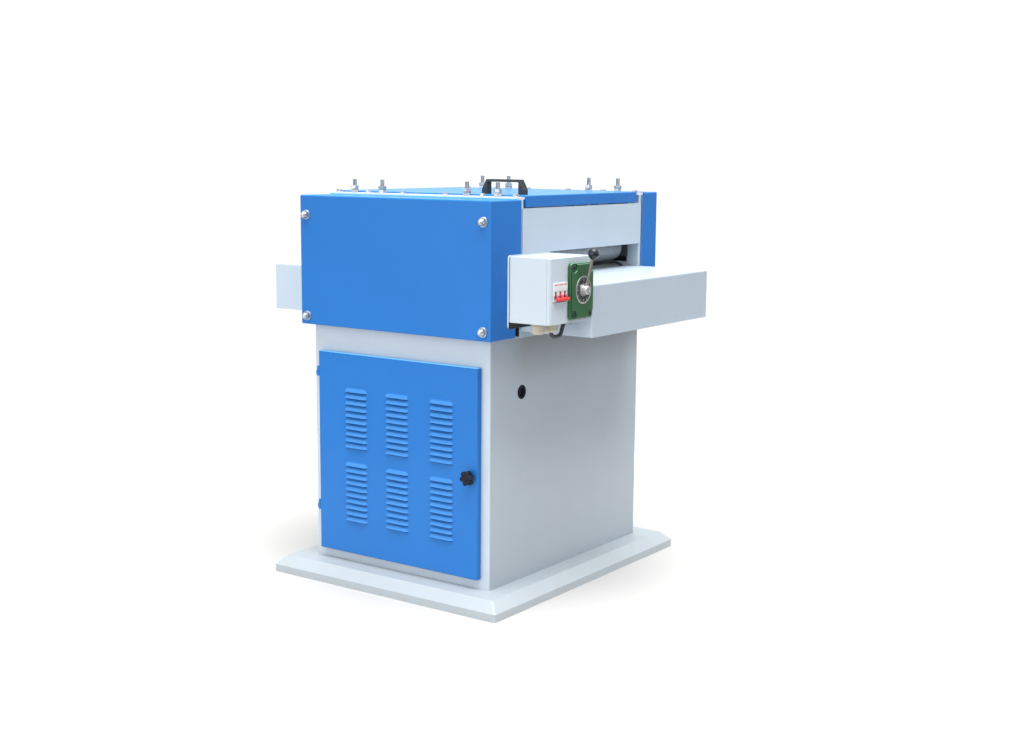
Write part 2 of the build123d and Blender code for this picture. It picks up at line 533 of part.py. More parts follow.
with BuildPart() as motor_rotor:
    turned(HEAD_X, MOTOR_Z, [(-326, 0), (-326, 19), (-140, 19), (-140, 74.5), (140, 74.5), (140, 19), (178, 19), (178, 0)])
save(motor_rotor, "motor_rotor")


def pulley_profile(pitch_r, bore_r):
    """Three-groove V pulley outline as (y, radius) points."""
    rim = pitch_r + 3.0
    pts = [(PULLEY_Y0, bore_r), (PULLEY_Y0, rim)]
    for y in GROOVE_Y:
        pts += [(y - 6.5, rim), (y - 2.7, rim - 11.0), (y + 2.7, rim - 11.0), (y + 6.5, rim)]
    pts += [(PULLEY_Y1, rim), (PULLEY_Y1, bore_r)]
    return pts


with BuildPart() as motor_pulley:
    turned(HEAD_X, MOTOR_Z, pulley_profile(MOTOR_PITCH_R, 19.0))
save(motor_pulley, "motor_pulley")

with BuildPart() as arbor_pulley:
    turned(HEAD_X, ARBOR_Z, pulley_profile(ARBOR_PITCH_R, 20.0))
save(arbor_pulley, "arbor_pulley")

BELT_RING = [(HEAD_X, ARBOR_Z, ARBOR_PITCH_R), (HEAD_X, MOTOR_Z, MOTOR_PITCH_R)]
with BuildPart() as drive_belts:
    for y in GROOVE_Y:
        band(BELT_RING, y - 3.7, y + 3.7, 4.0, 2.6)
save(drive_belts, "drive_belts")

# ------------------------------------------------------------------ saw arbor
with BuildPart() as saw_arbor:
    turned(HEAD_X, ARBOR_Z, [(-326, 0), (-326, 20), (-222, 20), (-222, 25), (-182, 25), (-182, 40), (-172, 40), (-172, 25),
                             (274, 25), (274, 20), (298, 20), (298, 0)])
save(saw_arbor, "saw_arbor")

with BuildPart() as saw_blades:
    teeth = 24
    for y in BLADE_Y:
        with BuildSketch(wall_plane(y + BLADE_T / 2)) as disc:
            with BuildLine():
                rim = []
                for t in range(teeth):
                    a = 2 * math.pi * t / teeth
                    for da, r in ((0.0, BLADE_R), (0.022, BLADE_R - 1.0), (0.05, BLADE_R - 9.0), (0.11, BLADE_R - 9.5),
                                  (0.17, BLADE_R - 3.5)):
                        rim.append((HEAD_X + r * math.cos(a + da), ARBOR_Z + r * math.sin(a + da)))
                Polyline(*rim, close=True)
            make_face()
            with Locations((HEAD_X, ARBOR_Z)):
                Circle(25.0, mode=Mode.SUBTRACT)
        extrude(disc.sketch, amount=BLADE_T)
save(saw_blades, "saw_blades")

with BuildPart() as blade_spacers:
    stops = [-172.0] + [e for y in BLADE_Y for e in (y - BLADE_T / 2, y + BLADE_T / 2)] + [216.0]
    for s0, s1 in zip(stops[0::2], stops[1::2]):
        turned(HEAD_X, ARBOR_Z, [(s0, 25.0), (s0, 37.0), (s1, 37.0), (s1, 25.0)])
    # clamp nut, held off the last spacer by a hair so that it stays a piece of its own
    with BuildSketch(wall_plane(236.05)) as nut:
        with Locations((HEAD_X, ARBOR_Z)):
            RegularPolygon(41, 6)
            Circle(25.0, mode=Mode.SUBTRACT)
    extrude(nut.sketch, amount=20)
save(blade_spacers, "blade_spacers")

with BuildPart() as bearing_housings:
    for y0, y1, f0, f1 in ((NEAR_Y0, NEAR_Y1, NEAR_Y1, -224.0), (FAR_Y0, FAR_Y1, 276.0, FAR_Y0)):
        turned(HEAD_X, ARBOR_Z, [(min(y0, f0), 20.06), (min(y0, f0), 40 if y0 < f0 else 47), (y1 if y0 < f0 else f1, 40 if y0 < f0 else 47),
                                 (y1 if y0 < f0 else f1, 47 if y0 < f0 else 40), (max(y1, f1), 47 if y0 < f0 else 40),
                                 (max(y1, f1), 20.06)])
    for x in ROLLER_X:
        turned(x, LOWER_Z, [(NEAR_Y0, 12.56), (NEAR_Y0, 26), (NEAR_Y1, 26), (NEAR_Y1, 38), (NEAR_Y1 + 4, 38), (NEAR_Y1 + 4, 12.56)])
        turned(x, LOWER_Z, [(FAR_Y0 - 4, 12.56), (FAR_Y0 - 4, 38), (FAR_Y0, 38), (FAR_Y0, 26), (FAR_Y1, 26), (FAR_Y1, 12.56)])
save(bearing_housings, "bearing_housings")

# ---------------------------------------------------------------------- feed
for i, x in enumerate(ROLLER_X):
    tail = ROW_2 + 6
    with BuildPart() as lower_roller:
        turned(x, LOWER_Z, [(NEAR_Y0 - 2, 0), (NEAR_Y0 - 2, JOURNAL_R), (-231, JOURNAL_R), (-231, 18), (-227, 18), (-227, ROLLER_R),
                            (279, ROLLER_R), (279, 18), (283, 18), (283, JOURNAL_R), (tail, JOURNAL_R), (tail, 0)])
        # hub with the chain wheels: the outer pair also carry the main chain
        turned(x, LOWER_Z, [(301, JOURNAL_R - 1), (301, 19), (tail - 1, 19), (tail - 1, JOURNAL_R - 1)])
        sprocket(x, LOWER_Z, ROW_2)
        if i in (0, 3):
            sprocket(x, LOWER_Z, ROW_1)
    save(lower_roller, f"lower_roller_{i + 1}")

MAIN_RING = [(DRIVE_X, DRIVE_Z, SPROCKET_R), (ROLLER_X[3], LOWER_Z, SPROCKET_R), (ROLLER_X[0], LOWER_Z, SPROCKET_R)]
PAIR_RINGS = [[(ROLLER_X[0], LOWER_Z, SPROCKET_R), (ROLLER_X[1], LOWER_Z, SPROCKET_R)],
              [(ROLLER_X[2], LOWER_Z, SPROCKET_R), (ROLLER_X[3], LOWER_Z, SPROCKET_R)]]
with BuildPart() as feed_chains:
    for ring, row in [(MAIN_RING, ROW_1)] + [(pair, ROW_2) for pair in PAIR_RINGS]:
        band(ring, row + 4.4, row + 5.9, 4.6, 4.6)
        band(ring, row - 5.9, row - 4.4, 4.6, 4.6)
        # pins along the straight spans
        for (u0, v0), (u1, v1) in tangent_spans(ring):
            length = math.hypot(u1 - u0, v1 - v0)
            count = int((length - 56) // 25.4)
            for k in range(count + 1):
                t = (length / 2 + (k - count / 2) * 25.4) / length
                rod_y(u0 + (u1 - u0) * t, v0 + (v1 - v0) * t, 3.0, row - 5.0, row + 5.0)
save(feed_chains, "feed_chains")

with BuildPart() as gearmotor:
    block(-215, -95, 180, 290, 625, CAB_TOP)
    block(-200, -110, 190, 280, 515, 625.5)
    rod_z(DRIVE_X, 235, 54, 345, 516)
    rod_z(DRIVE_X, 235, 50, 330, 346)
    rod_y(DRIVE_X, DRIVE_Z, 15.06, 200, 281, mode=Mode.SUBTRACT)
save(gearmotor, "gearmotor")

with BuildPart() as drive_sprocket:
    rod_y(DRIVE_X, DRIVE_Z, 15.0, 205, ROW_1 + 8)
    rod_y(DRIVE_X, DRIVE_Z, 20.0, ROW_1 - 12, ROW_1 + 6)
    sprocket(DRIVE_X, DRIVE_Z, ROW_1)
save(drive_sprocket, "drive_sprocket")

for i, x in enumerate(ROLLER_X):
    with BuildPart() as upper_roller:
        turned(x, UPPER_Z, [(-252, 0), (-252, JOURNAL_R), (-228, JOURNAL_R), (-228, 18), (-222, 18), (-222, ROLLER_R),
                            (262, ROLLER_R), (262, 18), (279, 18), (279, JOURNAL_R), (304, JOURNAL_R), (304, 0)])
    save(upper_roller, f"upper_roller_{i + 1}")

BLOCK_Z0, BLOCK_Z1 = 797.4, 877.0
for i, x in enumerate(ROLLER_X):
    with BuildPart() as carriage:
        for y0, y1, stud_y in ((NEAR_Y0, NEAR_Y1, STUD_Y[0]), (FAR_Y0, FAR_Y1, STUD_Y[1])):
            # bearing block guided in the slot by cheeks on both faces of the plate
            block(x - SLOT_W / 2 + 0.35, x + SLOT_W / 2 - 0.35, y0 - 4.5, y1 + 4.5, BLOCK_Z0, BLOCK_Z1)
            block(x - 38, x + 38, y0 - 4.5, y0 - 0.35, BLOCK_Z0, BLOCK_Z1)
            block(x - 38, x + 38, y1 + 0.35, y1 + 4.5, BLOCK_Z0, BLOCK_Z1)
            rod_y(x, UPPER_Z, JOURNAL_R + 0.06, y0 - 6, y1 + 6, mode=Mode.SUBTRACT)
            rod_z(x, stud_y, 5.0, BLOCK_Z1 - 12, STUD_TOP[STUD_Y.index(stud_y)])
            # doubled nuts on the rail
            for z in (RAIL_TOP + 0.15, RAIL_TOP + 8.75):
                hex_z(x, stud_y, z, 17, 8.4)
    save(carriage, f"carriage_{i + 1}")

SPRING_Z0, SPRING_Z1 = BLOCK_Z1 + 0.1, HEAD_TOP - 0.1
with BuildPart() as pressure_springs:
    wire = 3.0
    turns_h = SPRING_Z1 - SPRING_Z0 - wire
    for x in ROLLER_X:
        for y in STUD_Y:
            with BuildLine() as coil:
                Helix(turns_h / 7, turns_h, 8.2, center=(x, y, SPRING_Z0 + wire / 2))
            with BuildSketch(Plane(origin=coil.line @ 0, z_dir=coil.line % 0)) as section:
                Circle(wire / 2)
            sweep(section.sketch, path=coil.line, is_frenet=True)
save(pressure_springs, "pressure_springs")

with BuildPart() as dust_chute:
    # hopper under the blades
    block(-90, 100, -162, 214, 430, CAB_TOP)
    block(-88, 98, -160, 212, 432, CAB_TOP + 1, mode=Mode.SUBTRACT)
    # round outlet through the far wall
    rod_y(HEAD_X, SPIGOT_Z, SPIGOT_R, 213, 392)
    rod_y(HEAD_X, SPIGOT_Z, SPIGOT_R + 14, CAB_Y, CAB_Y + 3)
    rod_y(HEAD_X, SPIGOT_Z, SPIGOT_R - 2, 205, 393, mode=Mode.SUBTRACT)
save(dust_chute, "dust_chute")

# ----------------------------------------------------------------------- door
with BuildPart() as cabinet_door:
    block(DOOR_X0, DOOR_X1, DOOR_Y, DOOR_Y + 14.5, DOOR_Z0, DOOR_Z1)
    fillet(cabinet_door.faces().sort_by(Axis.Y)[0].edges() + cabinet_door.edges().filter_by(Axis.Y), 3)
    block(DOOR_X0 + 2, DOOR_X1 - 2, DOOR_Y + 2, DOOR_Y + 20, DOOR_Z0 + 2, DOOR_Z1 - 2, mode=Mode.SUBTRACT)
    # pressed louvres: hoods open downwards
    for cx in LOUVRE_X:
        with BuildSketch(end_plane(cx - LOUVRE_W / 2)) as hoods:
            for cz in LOUVRE_Z:
                for k in range(LOUVRE_N):
                    z = cz + (k - (LOUVRE_N - 1) / 2) * LOUVRE_PITCH
                    with BuildLine():
                        Polyline((DOOR_Y + 1, z + 6.2), (DOOR_Y - 3.0, z + 3.4), (DOOR_Y - 5.5, z - 5.4), (DOOR_Y + 1, z - 5.4),
                                 close=True)
                    make_face()
        extrude(hoods.sketch, amount=LOUVRE_W)
        with BuildSketch(end_plane(cx - LOUVRE_W / 2 + 1.5)) as throats:
            for cz in LOUVRE_Z:
                for k in range(LOUVRE_N):
                    z = cz + (k - (LOUVRE_N - 1) / 2) * LOUVRE_PITCH
                    with BuildLine():
                        Polyline((DOOR_Y + 3, z + 3.8), (DOOR_Y - 1.8, z + 2.2), (DOOR_Y - 4.2, z - 5.6), (DOOR_Y - 0.6, z - 5.6),
                                 (DOOR_Y + 3, z - 3.0), close=True)
                    make_face()
        extrude(throats.sketch, amount=LOUVRE_W - 3, mode=Mode.SUBTRACT)
    # weld-on hinge barrels, upper halves
    for z in HINGE_Z:
        rod_z(HINGE_X, HINGE_Y, 5.0, z + 0.4, z + HINGE_HALF)
        block(HINGE_X, DOOR_X0 + 1.5, HINGE_Y - 3, HINGE_Y + 3, z + 0.4, z + HINGE_HALF)
        rod_z(HINGE_X, HINGE_Y, 2.55, z, z + HINGE_HALF - 1.5, mode=Mode.SUBTRACT)
    rod_y(KNOB_X, KNOB_Z, 5.06, DOOR_Y - 1, DOOR_Y + 4, mode=Mode.SUBTRACT)
save(cabinet_door, "cabinet_door")

with BuildPart() as door_hinge_leaves:
    for z in HINGE_Z:
        block(-269, -254, -CAB_Y - 2.2, -CAB_Y, z - HINGE_HALF, z - 0.4)
        block(HINGE_X - 5, HINGE_X, HINGE_Y, -CAB_Y, z - HINGE_HALF, z - 0.4)
        rod_z(HINGE_X, HINGE_Y, 5.0, z - HINGE_HALF, z - 0.4)
        rod_z(HINGE_X, HINGE_Y, 2.5, z - 1, z + HINGE_HALF - 3)
save(door_hinge_leaves, "door_hinge_leaves")

with BuildPart() as door_knob:
    # six-lobed star grip on a short neck, with its spindle
    with BuildSketch(wall_plane(DOOR_Y - 8)) as star:
        with Locations((KNOB_X, KNOB_Z)):
            Circle(13.4)
            with PolarLocations(13.2, 6, start_angle=30):
                Circle(5.3)
    extrude(star.sketch, amount=15)
    fillet(door_knob.faces().sort_by(Axis.Y)[0].outer_wire().edges(), 2.0)
    rod_y(KNOB_X, KNOB_Z, 9.0, DOOR_Y - 9, DOOR_Y - 0.4)
    rod_y(KNOB_X, KNOB_Z, 5.0, DOOR_Y - 10, -322)
save(door_knob, "door_knob")

with BuildPart() as latch_cam:
    # tongue hanging straight down when the door is free
    with BuildSketch(wall_plane(-325.6)) as tongue_shape:
        with Locations((KNOB_X, KNOB_Z - 12)):
            RectangleRounded(17, 41, 4)
        with Locations((KNOB_X, KNOB_Z)):
            Circle(5.05, mode=Mode.SUBTRACT)
    extrude(tongue_shape.sketch, amount=3.4)
save(latch_cam, "latch_cam")

# ------------------------------------------------------------------------ lid
LID_HINGE_X = [-92.5, 102.5]
with BuildPart() as top_lid:
    block(LID_X0, LID_X1, LID_Y0, LID_Y1, LID_Z0, LID_Z1)
    fillet(top_lid.faces().sort_by(Axis.Z)[-1].edges() + top_lid.edges().filter_by(Axis.Z), 3)
    block(LID_X0 + 2.5, LID_X1 - 2.5, LID_Y0 + 2.5, LID_Y1 - 2.5, LID_Z0 - 1, LID_Z1 - 2.5, mode=Mode.SUBTRACT)
    for x in LID_HINGE_X:
        # strap welded to the far edge, with half of the barrel
        block(x + 0.4, x + 18, LID_Y1 - 1, LID_AXIS_Y, LID_Z1 - 7, LID_Z1 - 3)
        rod_x(LID_AXIS_Y, LID_AXIS_Z, 3.8, x + 0.4, x + 18)
        rod_x(LID_AXIS_Y, LID_AXIS_Z, 1.8, x - 1, x + 17, mode=Mode.SUBTRACT)
save(top_lid, "top_lid")

with BuildPart() as lid_hinge_leaves:
    for x in LID_HINGE_X:
        block(x - 18, x - 0.4, LID_AXIS_Y, 291, RAIL_TOP, RAIL_TOP + 2.2)
        rod_x(LID_AXIS_Y, LID_AXIS_Z, 3.8, x - 18, x - 0.4)
        rod_x(LID_AXIS_Y, LID_AXIS_Z, 1.75, x - 2, x + 16)
save(lid_hinge_leaves, "lid_hinge_leaves")

HANDLE_X, HANDLE_Y, HANDLE_H = 201.0, -180.0, 35.0
with BuildPart() as lid_handle:
    # bridge handle: upright feet, sloped shoulders and a thin bar
    with BuildSketch(wall_plane(HANDLE_Y + 9)) as bow:
        with BuildLine():
            Polyline((HANDLE_X - 61, LID_Z1), (HANDLE_X - 61, LID_Z1 + 12), (HANDLE_X - 48.5, LID_Z1 + HANDLE_H),
                     (HANDLE_X + 48.5, LID_Z1 + HANDLE_H), (HANDLE_X + 61, LID_Z1 + 12), (HANDLE_X + 61, LID_Z1),
                     (HANDLE_X + 45, LID_Z1), (HANDLE_X + 45, LID_Z1 + 28.8), (HANDLE_X - 45, LID_Z1 + 28.8),
                     (HANDLE_X - 45, LID_Z1), close=True)
        make_face()
    extrude(bow.sketch, amount=18)
    fillet(lid_handle.edges().filter_by(Axis.Y).filter_by_position(Axis.Z, LID_Z1 + 30, LID_Z1 + 40), 3)
save(lid_handle, "lid_handle")
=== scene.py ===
import math

import bpy
import bmesh
from mathutils import Matrix, Vector


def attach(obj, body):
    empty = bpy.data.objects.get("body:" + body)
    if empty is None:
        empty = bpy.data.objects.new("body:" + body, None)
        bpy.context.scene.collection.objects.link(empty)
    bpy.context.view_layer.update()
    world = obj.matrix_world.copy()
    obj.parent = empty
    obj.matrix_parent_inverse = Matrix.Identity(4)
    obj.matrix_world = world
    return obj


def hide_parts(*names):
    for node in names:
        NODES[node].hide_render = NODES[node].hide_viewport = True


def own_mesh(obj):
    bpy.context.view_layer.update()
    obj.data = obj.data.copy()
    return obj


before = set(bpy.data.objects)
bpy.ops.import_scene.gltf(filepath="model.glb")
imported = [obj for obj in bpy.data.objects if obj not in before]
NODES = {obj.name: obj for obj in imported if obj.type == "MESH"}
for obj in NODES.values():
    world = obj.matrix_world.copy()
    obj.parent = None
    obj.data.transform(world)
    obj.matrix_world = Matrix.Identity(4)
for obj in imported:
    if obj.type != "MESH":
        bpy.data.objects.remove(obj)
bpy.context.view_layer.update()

MM = 0.001
TAU = 2 * math.pi


# ============================================================== node materials
def lin(r, g, b):
    """sRGB bytes to a linear colour."""
    out = []
    for c in (r, g, b):
        c /= 255.0
        out.append(c / 12.92 if c <= 0.04045 else ((c + 0.055) / 1.055) ** 2.4)
    return (*out, 1.0)


def shade(c, f):
    return (min(1, c[0] * f), min(1, c[1] * f), min(1, c[2] * f), 1.0)


class Mat:
    """A Principled material with a few helpers for its node tree."""

    def __init__(self, name):
        self.m = bpy.data.materials.new(name)
        self.m.use_nodes = True
        self.t = self.m.node_tree
        self.t.nodes.clear()
        self.out = self.t.nodes.new("ShaderNodeOutputMaterial")
        self.b = self.t.nodes.new("ShaderNodeBsdfPrincipled")
        self.t.links.new(self.b.outputs[0], self.out.inputs[0])
        self.coord = self.t.nodes.new("ShaderNodeTexCoord")

    def node(self, kind, **settings):
        n = self.t.nodes.new(kind)
        for k, v in settings.items():
            setattr(n, k, v)
        return n

    def link(self, a, b):
        self.t.links.new(a, b)

    def place(self, scale=(1, 1, 1), rotation=(0, 0, 0)):
        mp = self.node("ShaderNodeMapping")
        mp.inputs["Scale"].default_value = scale
        mp.inputs["Rotation"].default_value = rotation
        self.link(self.coord.outputs["Object"], mp.inputs["Vector"])
        return mp.outputs["Vector"]

    def noise(self, scale, detail=3.0, rough=0.55, vector=None, distortion=0.0):
        n = self.node("ShaderNodeTexNoise")
        n.inputs["Scale"].default_value = scale
        n.inputs["Detail"].default_value = detail
        n.inputs["Roughness"].default_value = rough
        n.inputs["Distortion"].default_value = distortion
        self.link(vector or self.coord.outputs["Object"], n.inputs["Vector"])
        return n.outputs["Fac"]

    def voronoi(self, scale, feature="F1", vector=None, output="Distance"):
        n = self.node("ShaderNodeTexVoronoi", feature=feature)
        n.inputs["Scale"].default_value = scale
        self.link(vector or self.coord.outputs["Object"], n.inputs["Vector"])
        return n.outputs[output]

    def ramp(self, fac, stops):
        r = self.node("ShaderNodeValToRGB")
        e = r.color_ramp.elements
        while len(e) > 1:
            e.remove(e[-1])
        e[0].position, e[0].color = stops[0]
        for p, c in stops[1:]:
            el = e.new(p)
            el.color = c
        self.link(fac, r.inputs["Fac"])
        return r.outputs["Color"]

    def range(self, fac, lo, hi, a=0.3, b=0.7):
        r = self.node("ShaderNodeMapRange")
        r.inputs["From Min"].default_value = a
        r.inputs["From Max"].default_value = b
        r.inputs["To Min"].default_value = lo
        r.inputs["To Max"].default_value = hi
        self.link(fac, r.inputs["Value"])
        return r.outputs["Result"]

    def mix(self, fac, a, b, blend="MIX"):
        m = self.node("ShaderNodeMix", data_type="RGBA", blend_type=blend)
        for sock, v in ((m.inputs[0], fac), (m.inputs[6], a), (m.inputs[7], b)):
            if hasattr(v, "is_output"):
                self.link(v, sock)
            else:
                sock.default_value = v
        return m.outputs[2]

    def math(self, op, a, b=0.0, clamp=False):
        n = self.node("ShaderNodeMath", operation=op, use_clamp=clamp)
        for sock, v in ((n.inputs[0], a), (n.inputs[1], b)):
            if hasattr(v, "is_output"):
                self.link(v, sock)
            else:
                sock.default_value = v
        return n.outputs[0]

    def edge(self, radius, gain=1.0):
        """Mask that is 1 on rounded outer edges and inner corners, 0 on flats."""
        bev = self.node("ShaderNodeBevel", samples=4)
        bev.inputs["Radius"].default_value = radius
        geo = self.node("ShaderNodeNewGeometry")
        dot = self.node("ShaderNodeVectorMath", operation="DOT_PRODUCT")
        self.link(bev.outputs[0], dot.inputs[0])
        self.link(geo.outputs["Normal"], dot.inputs[1])
        inv = self.math("SUBTRACT", 1.0, dot.outputs["Value"])
        return self.math("MULTIPLY", inv, gain, clamp=True)

    def height(self):
        sep = self.node("ShaderNodeSeparateXYZ")
        self.link(self.coord.outputs["Object"], sep.inputs[0])
        return sep.outputs["Z"]

    def bump(self, *layers):
        """Chain of (height socket, strength, distance) bumps."""
        last = None
        for h, strength, distance in layers:
            n = self.node("ShaderNodeBump")
            n.inputs["Strength"].default_value = strength
            n.inputs["Distance"].default_value = distance
            self.link(h, n.inputs["Height"])
            if last is not None:
                self.link(last, n.inputs["Normal"])
            last = n.outputs["Normal"]
        self.link(last, self.b.inputs["Normal"])

    def set(self, **values):
        for k, v in values.items():
            sock = self.b.inputs[k.replace("_", " ")]
            if hasattr(v, "is_output"):
                self.link(v, sock)
            else:
                sock.default_value = v
        return self.m


def paint(name, colour, rough=0.36, peel=0.05, spread=0.03, wear_and_highlight=None, dust_and_shade=0.0, coat=0.0, grain=1.0, spec=0.35, edge_highlight=0.5, feed_side_shade=None, top_highlight=None):
    """Sprayed and baked paint: orange peel, faint cloudiness, lighter edges (wear and painted highlight), darker
    towards the floor (dust, and painted shade where the amount is raised), a painted shade on the feed side with a
    painted shadow under the table, and a painted highlight on top faces.
    """
    k = Mat(name)
    cloud = k.noise(7.0, 4.0)
    tone = k.ramp(cloud, [(0.25, shade(colour, 1 - spread)), (0.75, shade(colour, 1 + spread))])
    fine = k.noise(260.0, 2.0)
    tone = k.mix(k.range(fine, 0.0, 0.10), tone, shade(colour, 0.9))
    # painted highlight: faces above the given height take a lighter, greener blue
    if top_highlight is not None:
        tone = k.mix(k.math("MULTIPLY", k.range(k.height(), 0.0, 1.0, top_highlight[0], top_highlight[1]), k.range(cloud, 0.9, 1.0)), tone, top_highlight[2])
    # lighter edges: wear, and a painted highlight on the rounded edges
    if wear_and_highlight is not None:
        wear_and_highlight_mask = k.math("MULTIPLY", k.edge(0.0016, 2.2), k.range(k.noise(48.0, 5.0, 0.7), 0.15, 1.0, 0.35, 0.65))
        tone = k.mix(k.math("MULTIPLY", wear_and_highlight_mask, edge_highlight), tone, wear_and_highlight)
    # darker towards the floor: dust, and painted shade where the amount is raised
    if dust_and_shade > 0:
        low = k.node("ShaderNodeMapRange")
        for s, v in (("From Min", 0.0), ("From Max", 0.11), ("To Min", dust_and_shade), ("To Max", 0.0)):
            low.inputs[s].default_value = v
        k.link(k.height(), low.inputs["Value"])
        dust_and_shade_mix = k.math("MULTIPLY", low.outputs["Result"], k.range(k.noise(22.0, 6.0, 0.65), 0.2, 1.0))
        tone = k.mix(dust_and_shade_mix, tone, lin(150, 146, 138))
    # painted shade: the +X face darkens between the given x limits, more towards the bottom
    if feed_side_shade is not None:
        part = k.node("ShaderNodeSeparateXYZ")
        k.link(k.coord.outputs["Object"], part.inputs[0])
        side_shade_amount = k.math("MULTIPLY", k.range(part.outputs["X"], 0.0, 1.0, feed_side_shade[0], feed_side_shade[1]), k.range(k.height(), 1.0, 0.5, 0.12, 0.5))
        tone = k.mix(k.math("MULTIPLY", side_shade_amount, k.range(k.noise(5.0, 4.0), 0.85, 1.0)), tone, shade(colour, feed_side_shade[2]))
        # painted shadow: a neutral grey band high on the side, under the table
        if feed_side_shade[3] > 0:
            under_table_shadow = k.math("MULTIPLY", k.range(part.outputs["X"], 0.0, feed_side_shade[3], feed_side_shade[0], feed_side_shade[1]), k.range(k.height(), 0.0, 1.0, 0.52, 0.63))
            under_table_shadow = k.math("MULTIPLY", under_table_shadow, k.range(part.outputs["Y"], 0.0, 1.0, -0.285, -0.190))
            tone = k.mix(under_table_shadow, tone, lin(128, 127, 124))
    k.bump((k.noise(620.0 * grain, 2.0, 0.5), peel, 0.0006), (k.noise(150.0 * grain, 1.0), peel * 0.6, 0.0012))
    return k.set(Base_Color=tone, Roughness=k.range(k.noise(34.0, 4.0), rough - 0.05, rough + 0.07),
                 Specular_IOR_Level=spec, Coat_Weight=coat, Coat_Roughness=0.2)


def metal(name, colour, rough=0.3, streak=(1, 1, 60), spread=0.10, rotation=(0, 0, 0), bump=0.02, stain=None, aniso=0.0):
    """Worked metal: fine drawn lines along one direction, cloudy tone, darker in the creases."""
    k = Mat(name)
    lines = k.noise(90.0, 3.0, 0.6, k.place(streak, rotation))
    cloud = k.noise(35.0, 5.0, 0.6)
    tone = k.ramp(cloud, [(0.3, shade(colour, 1 - spread)), (0.7, shade(colour, 1 + spread))])
    tone = k.mix(k.range(lines, 0.0, 0.35), tone, shade(colour, 0.72))
    if stain is not None:
        tone = k.mix(k.range(k.noise(120.0, 6.0, 0.7), 0.0, 0.55, 0.52, 0.72), tone, stain)
    k.bump((lines, bump * 4, 0.0004), (k.noise(800.0, 2.0), bump, 0.0003))
    return k.set(Base_Color=tone, Metallic=1.0, Roughness=k.range(lines, rough - 0.07, rough + 0.12), Anisotropic=aniso)


def plastic(name, colour, rough=0.42, grain=900.0, bump=0.06, spread=0.05, edge_tone=None, spec=0.4):
    """Moulded plastic: spark-eroded grain, slight flow marks, polished edges."""
    k = Mat(name)
    flow = k.noise(18.0, 3.0, 0.5, k.place((1, 1, 3)), 0.6)
    tone = k.ramp(flow, [(0.3, shade(colour, 1 - spread)), (0.7, shade(colour, 1 + spread))])
    if edge_tone is not None:
        tone = k.mix(k.math("MULTIPLY", k.edge(0.0009, 2.0), 0.35), tone, edge_tone)
    pits = k.voronoi(grain)
    k.bump((pits, bump, 0.0004), (k.noise(grain * 0.4, 2.0), bump * 0.6, 0.0005))
    return k.set(Base_Color=tone, Roughness=k.range(k.noise(60.0, 3.0), rough - 0.06, rough + 0.08), Specular_IOR_Level=spec)


def rubber(name, colour):
    k = Mat(name)
    tone = k.ramp(k.noise(50.0, 4.0), [(0.3, shade(colour, 0.85)), (0.7, shade(colour, 1.3))])
    k.bump((k.noise(700.0, 3.0), 0.08, 0.0004))
    return k.set(Base_Color=tone, Roughness=k.range(k.noise(90.0, 3.0), 0.52, 0.72))


def zinc_plate(name, colour, rough=0.26):
    """Bright zinc: bluish and slightly yellow clouds, small dull freckles."""
    k = Mat(name)
    cloud = k.noise(60.0, 4.0)
    tone = k.ramp(cloud, [(0.28, shade(colour, 0.86)), (0.5, colour), (0.74, (min(1, colour[0] * 1.06), colour[1] * 1.02, colour[2] * 0.93, 1))])
    freckle = k.voronoi(420.0)
    tone = k.mix(k.range(freckle, 0.3, 0.0, 0.02, 0.16), tone, shade(colour, 0.6))
    k.bump((k.noise(500.0, 3.0), 0.05, 0.0003))
    return k.set(Base_Color=tone, Metallic=1.0, Roughness=k.range(k.noise(150.0, 4.0), rough - 0.06, rough + 0.12))


def spangle(name, colour):
    """Galvanised roller skin: small crystal patches, faint scuffs along the turning direction."""
    k = Mat(name)
    cell = k.voronoi(430.0, output="Color")
    grey = k.node("ShaderNodeRGBToBW")
    k.link(cell, grey.inputs[0])
    tone = k.ramp(grey.outputs[0], [(0.2, shade(colour, 0.80)), (0.5, colour), (0.8, shade(colour, 1.16))])
    scuff = k.noise(60.0, 6.0, 0.7, k.place((1, 5, 1)))
    tone = k.mix(k.range(scuff, 0.0, 0.22, 0.45, 0.75), tone, shade(colour, 0.62))
    dots = k.voronoi(620.0)
    k.bump((dots, 0.18, 0.0005), (k.noise(70.0, 4.0), 0.06, 0.0008))
    return k.set(Base_Color=tone, Metallic=0.55, Roughness=k.range(scuff, 0.42, 0.58))


def hammered(name, colour):
    """Glossy stoved enamel on a casting: shallow hammer dimples, edges lighter as a painted highlight."""
    k = Mat(name)
    cells = k.voronoi(260.0, feature="SMOOTH_F1")
    tone = k.ramp(cells, [(0.05, shade(colour, 1.03)), (0.55, colour), (0.9, shade(colour, 0.96))])
    tone = k.mix(k.range(k.noise(25.0, 4.0), 0.0, 0.25), tone, shade(colour, 0.8))
    tone = k.mix(k.math("MULTIPLY", k.edge(0.0012, 2.0), 0.3), tone, shade(colour, 2.0))
    k.bump((cells, 0.015, 0.0006), (k.noise(120.0, 3.0), 0.02, 0.001))
    return k.set(Base_Color=tone, Roughness=k.range(cells, 0.28, 0.32), Specular_IOR_Level=0.35, Coat_Weight=0.25, Coat_Roughness=0.1)


def casting(name, colour, rough=0.55):
    k = Mat(name)
    tone = k.ramp(k.noise(45.0, 6.0, 0.65), [(0.3, shade(colour, 0.8)), (0.7, shade(colour, 1.2))])
    tone = k.mix(k.math("MULTIPLY", k.edge(0.0015, 2.0), 0.4), tone, shade(colour, 1.8))
    k.bump((k.noise(260.0, 5.0, 0.65), 0.3, 0.0009), (k.noise(40.0, 3.0), 0.15, 0.0015))
    return k.set(Base_Color=tone, Roughness=k.range(k.noise(80.0, 4.0), rough - 0.1, rough + 0.1))


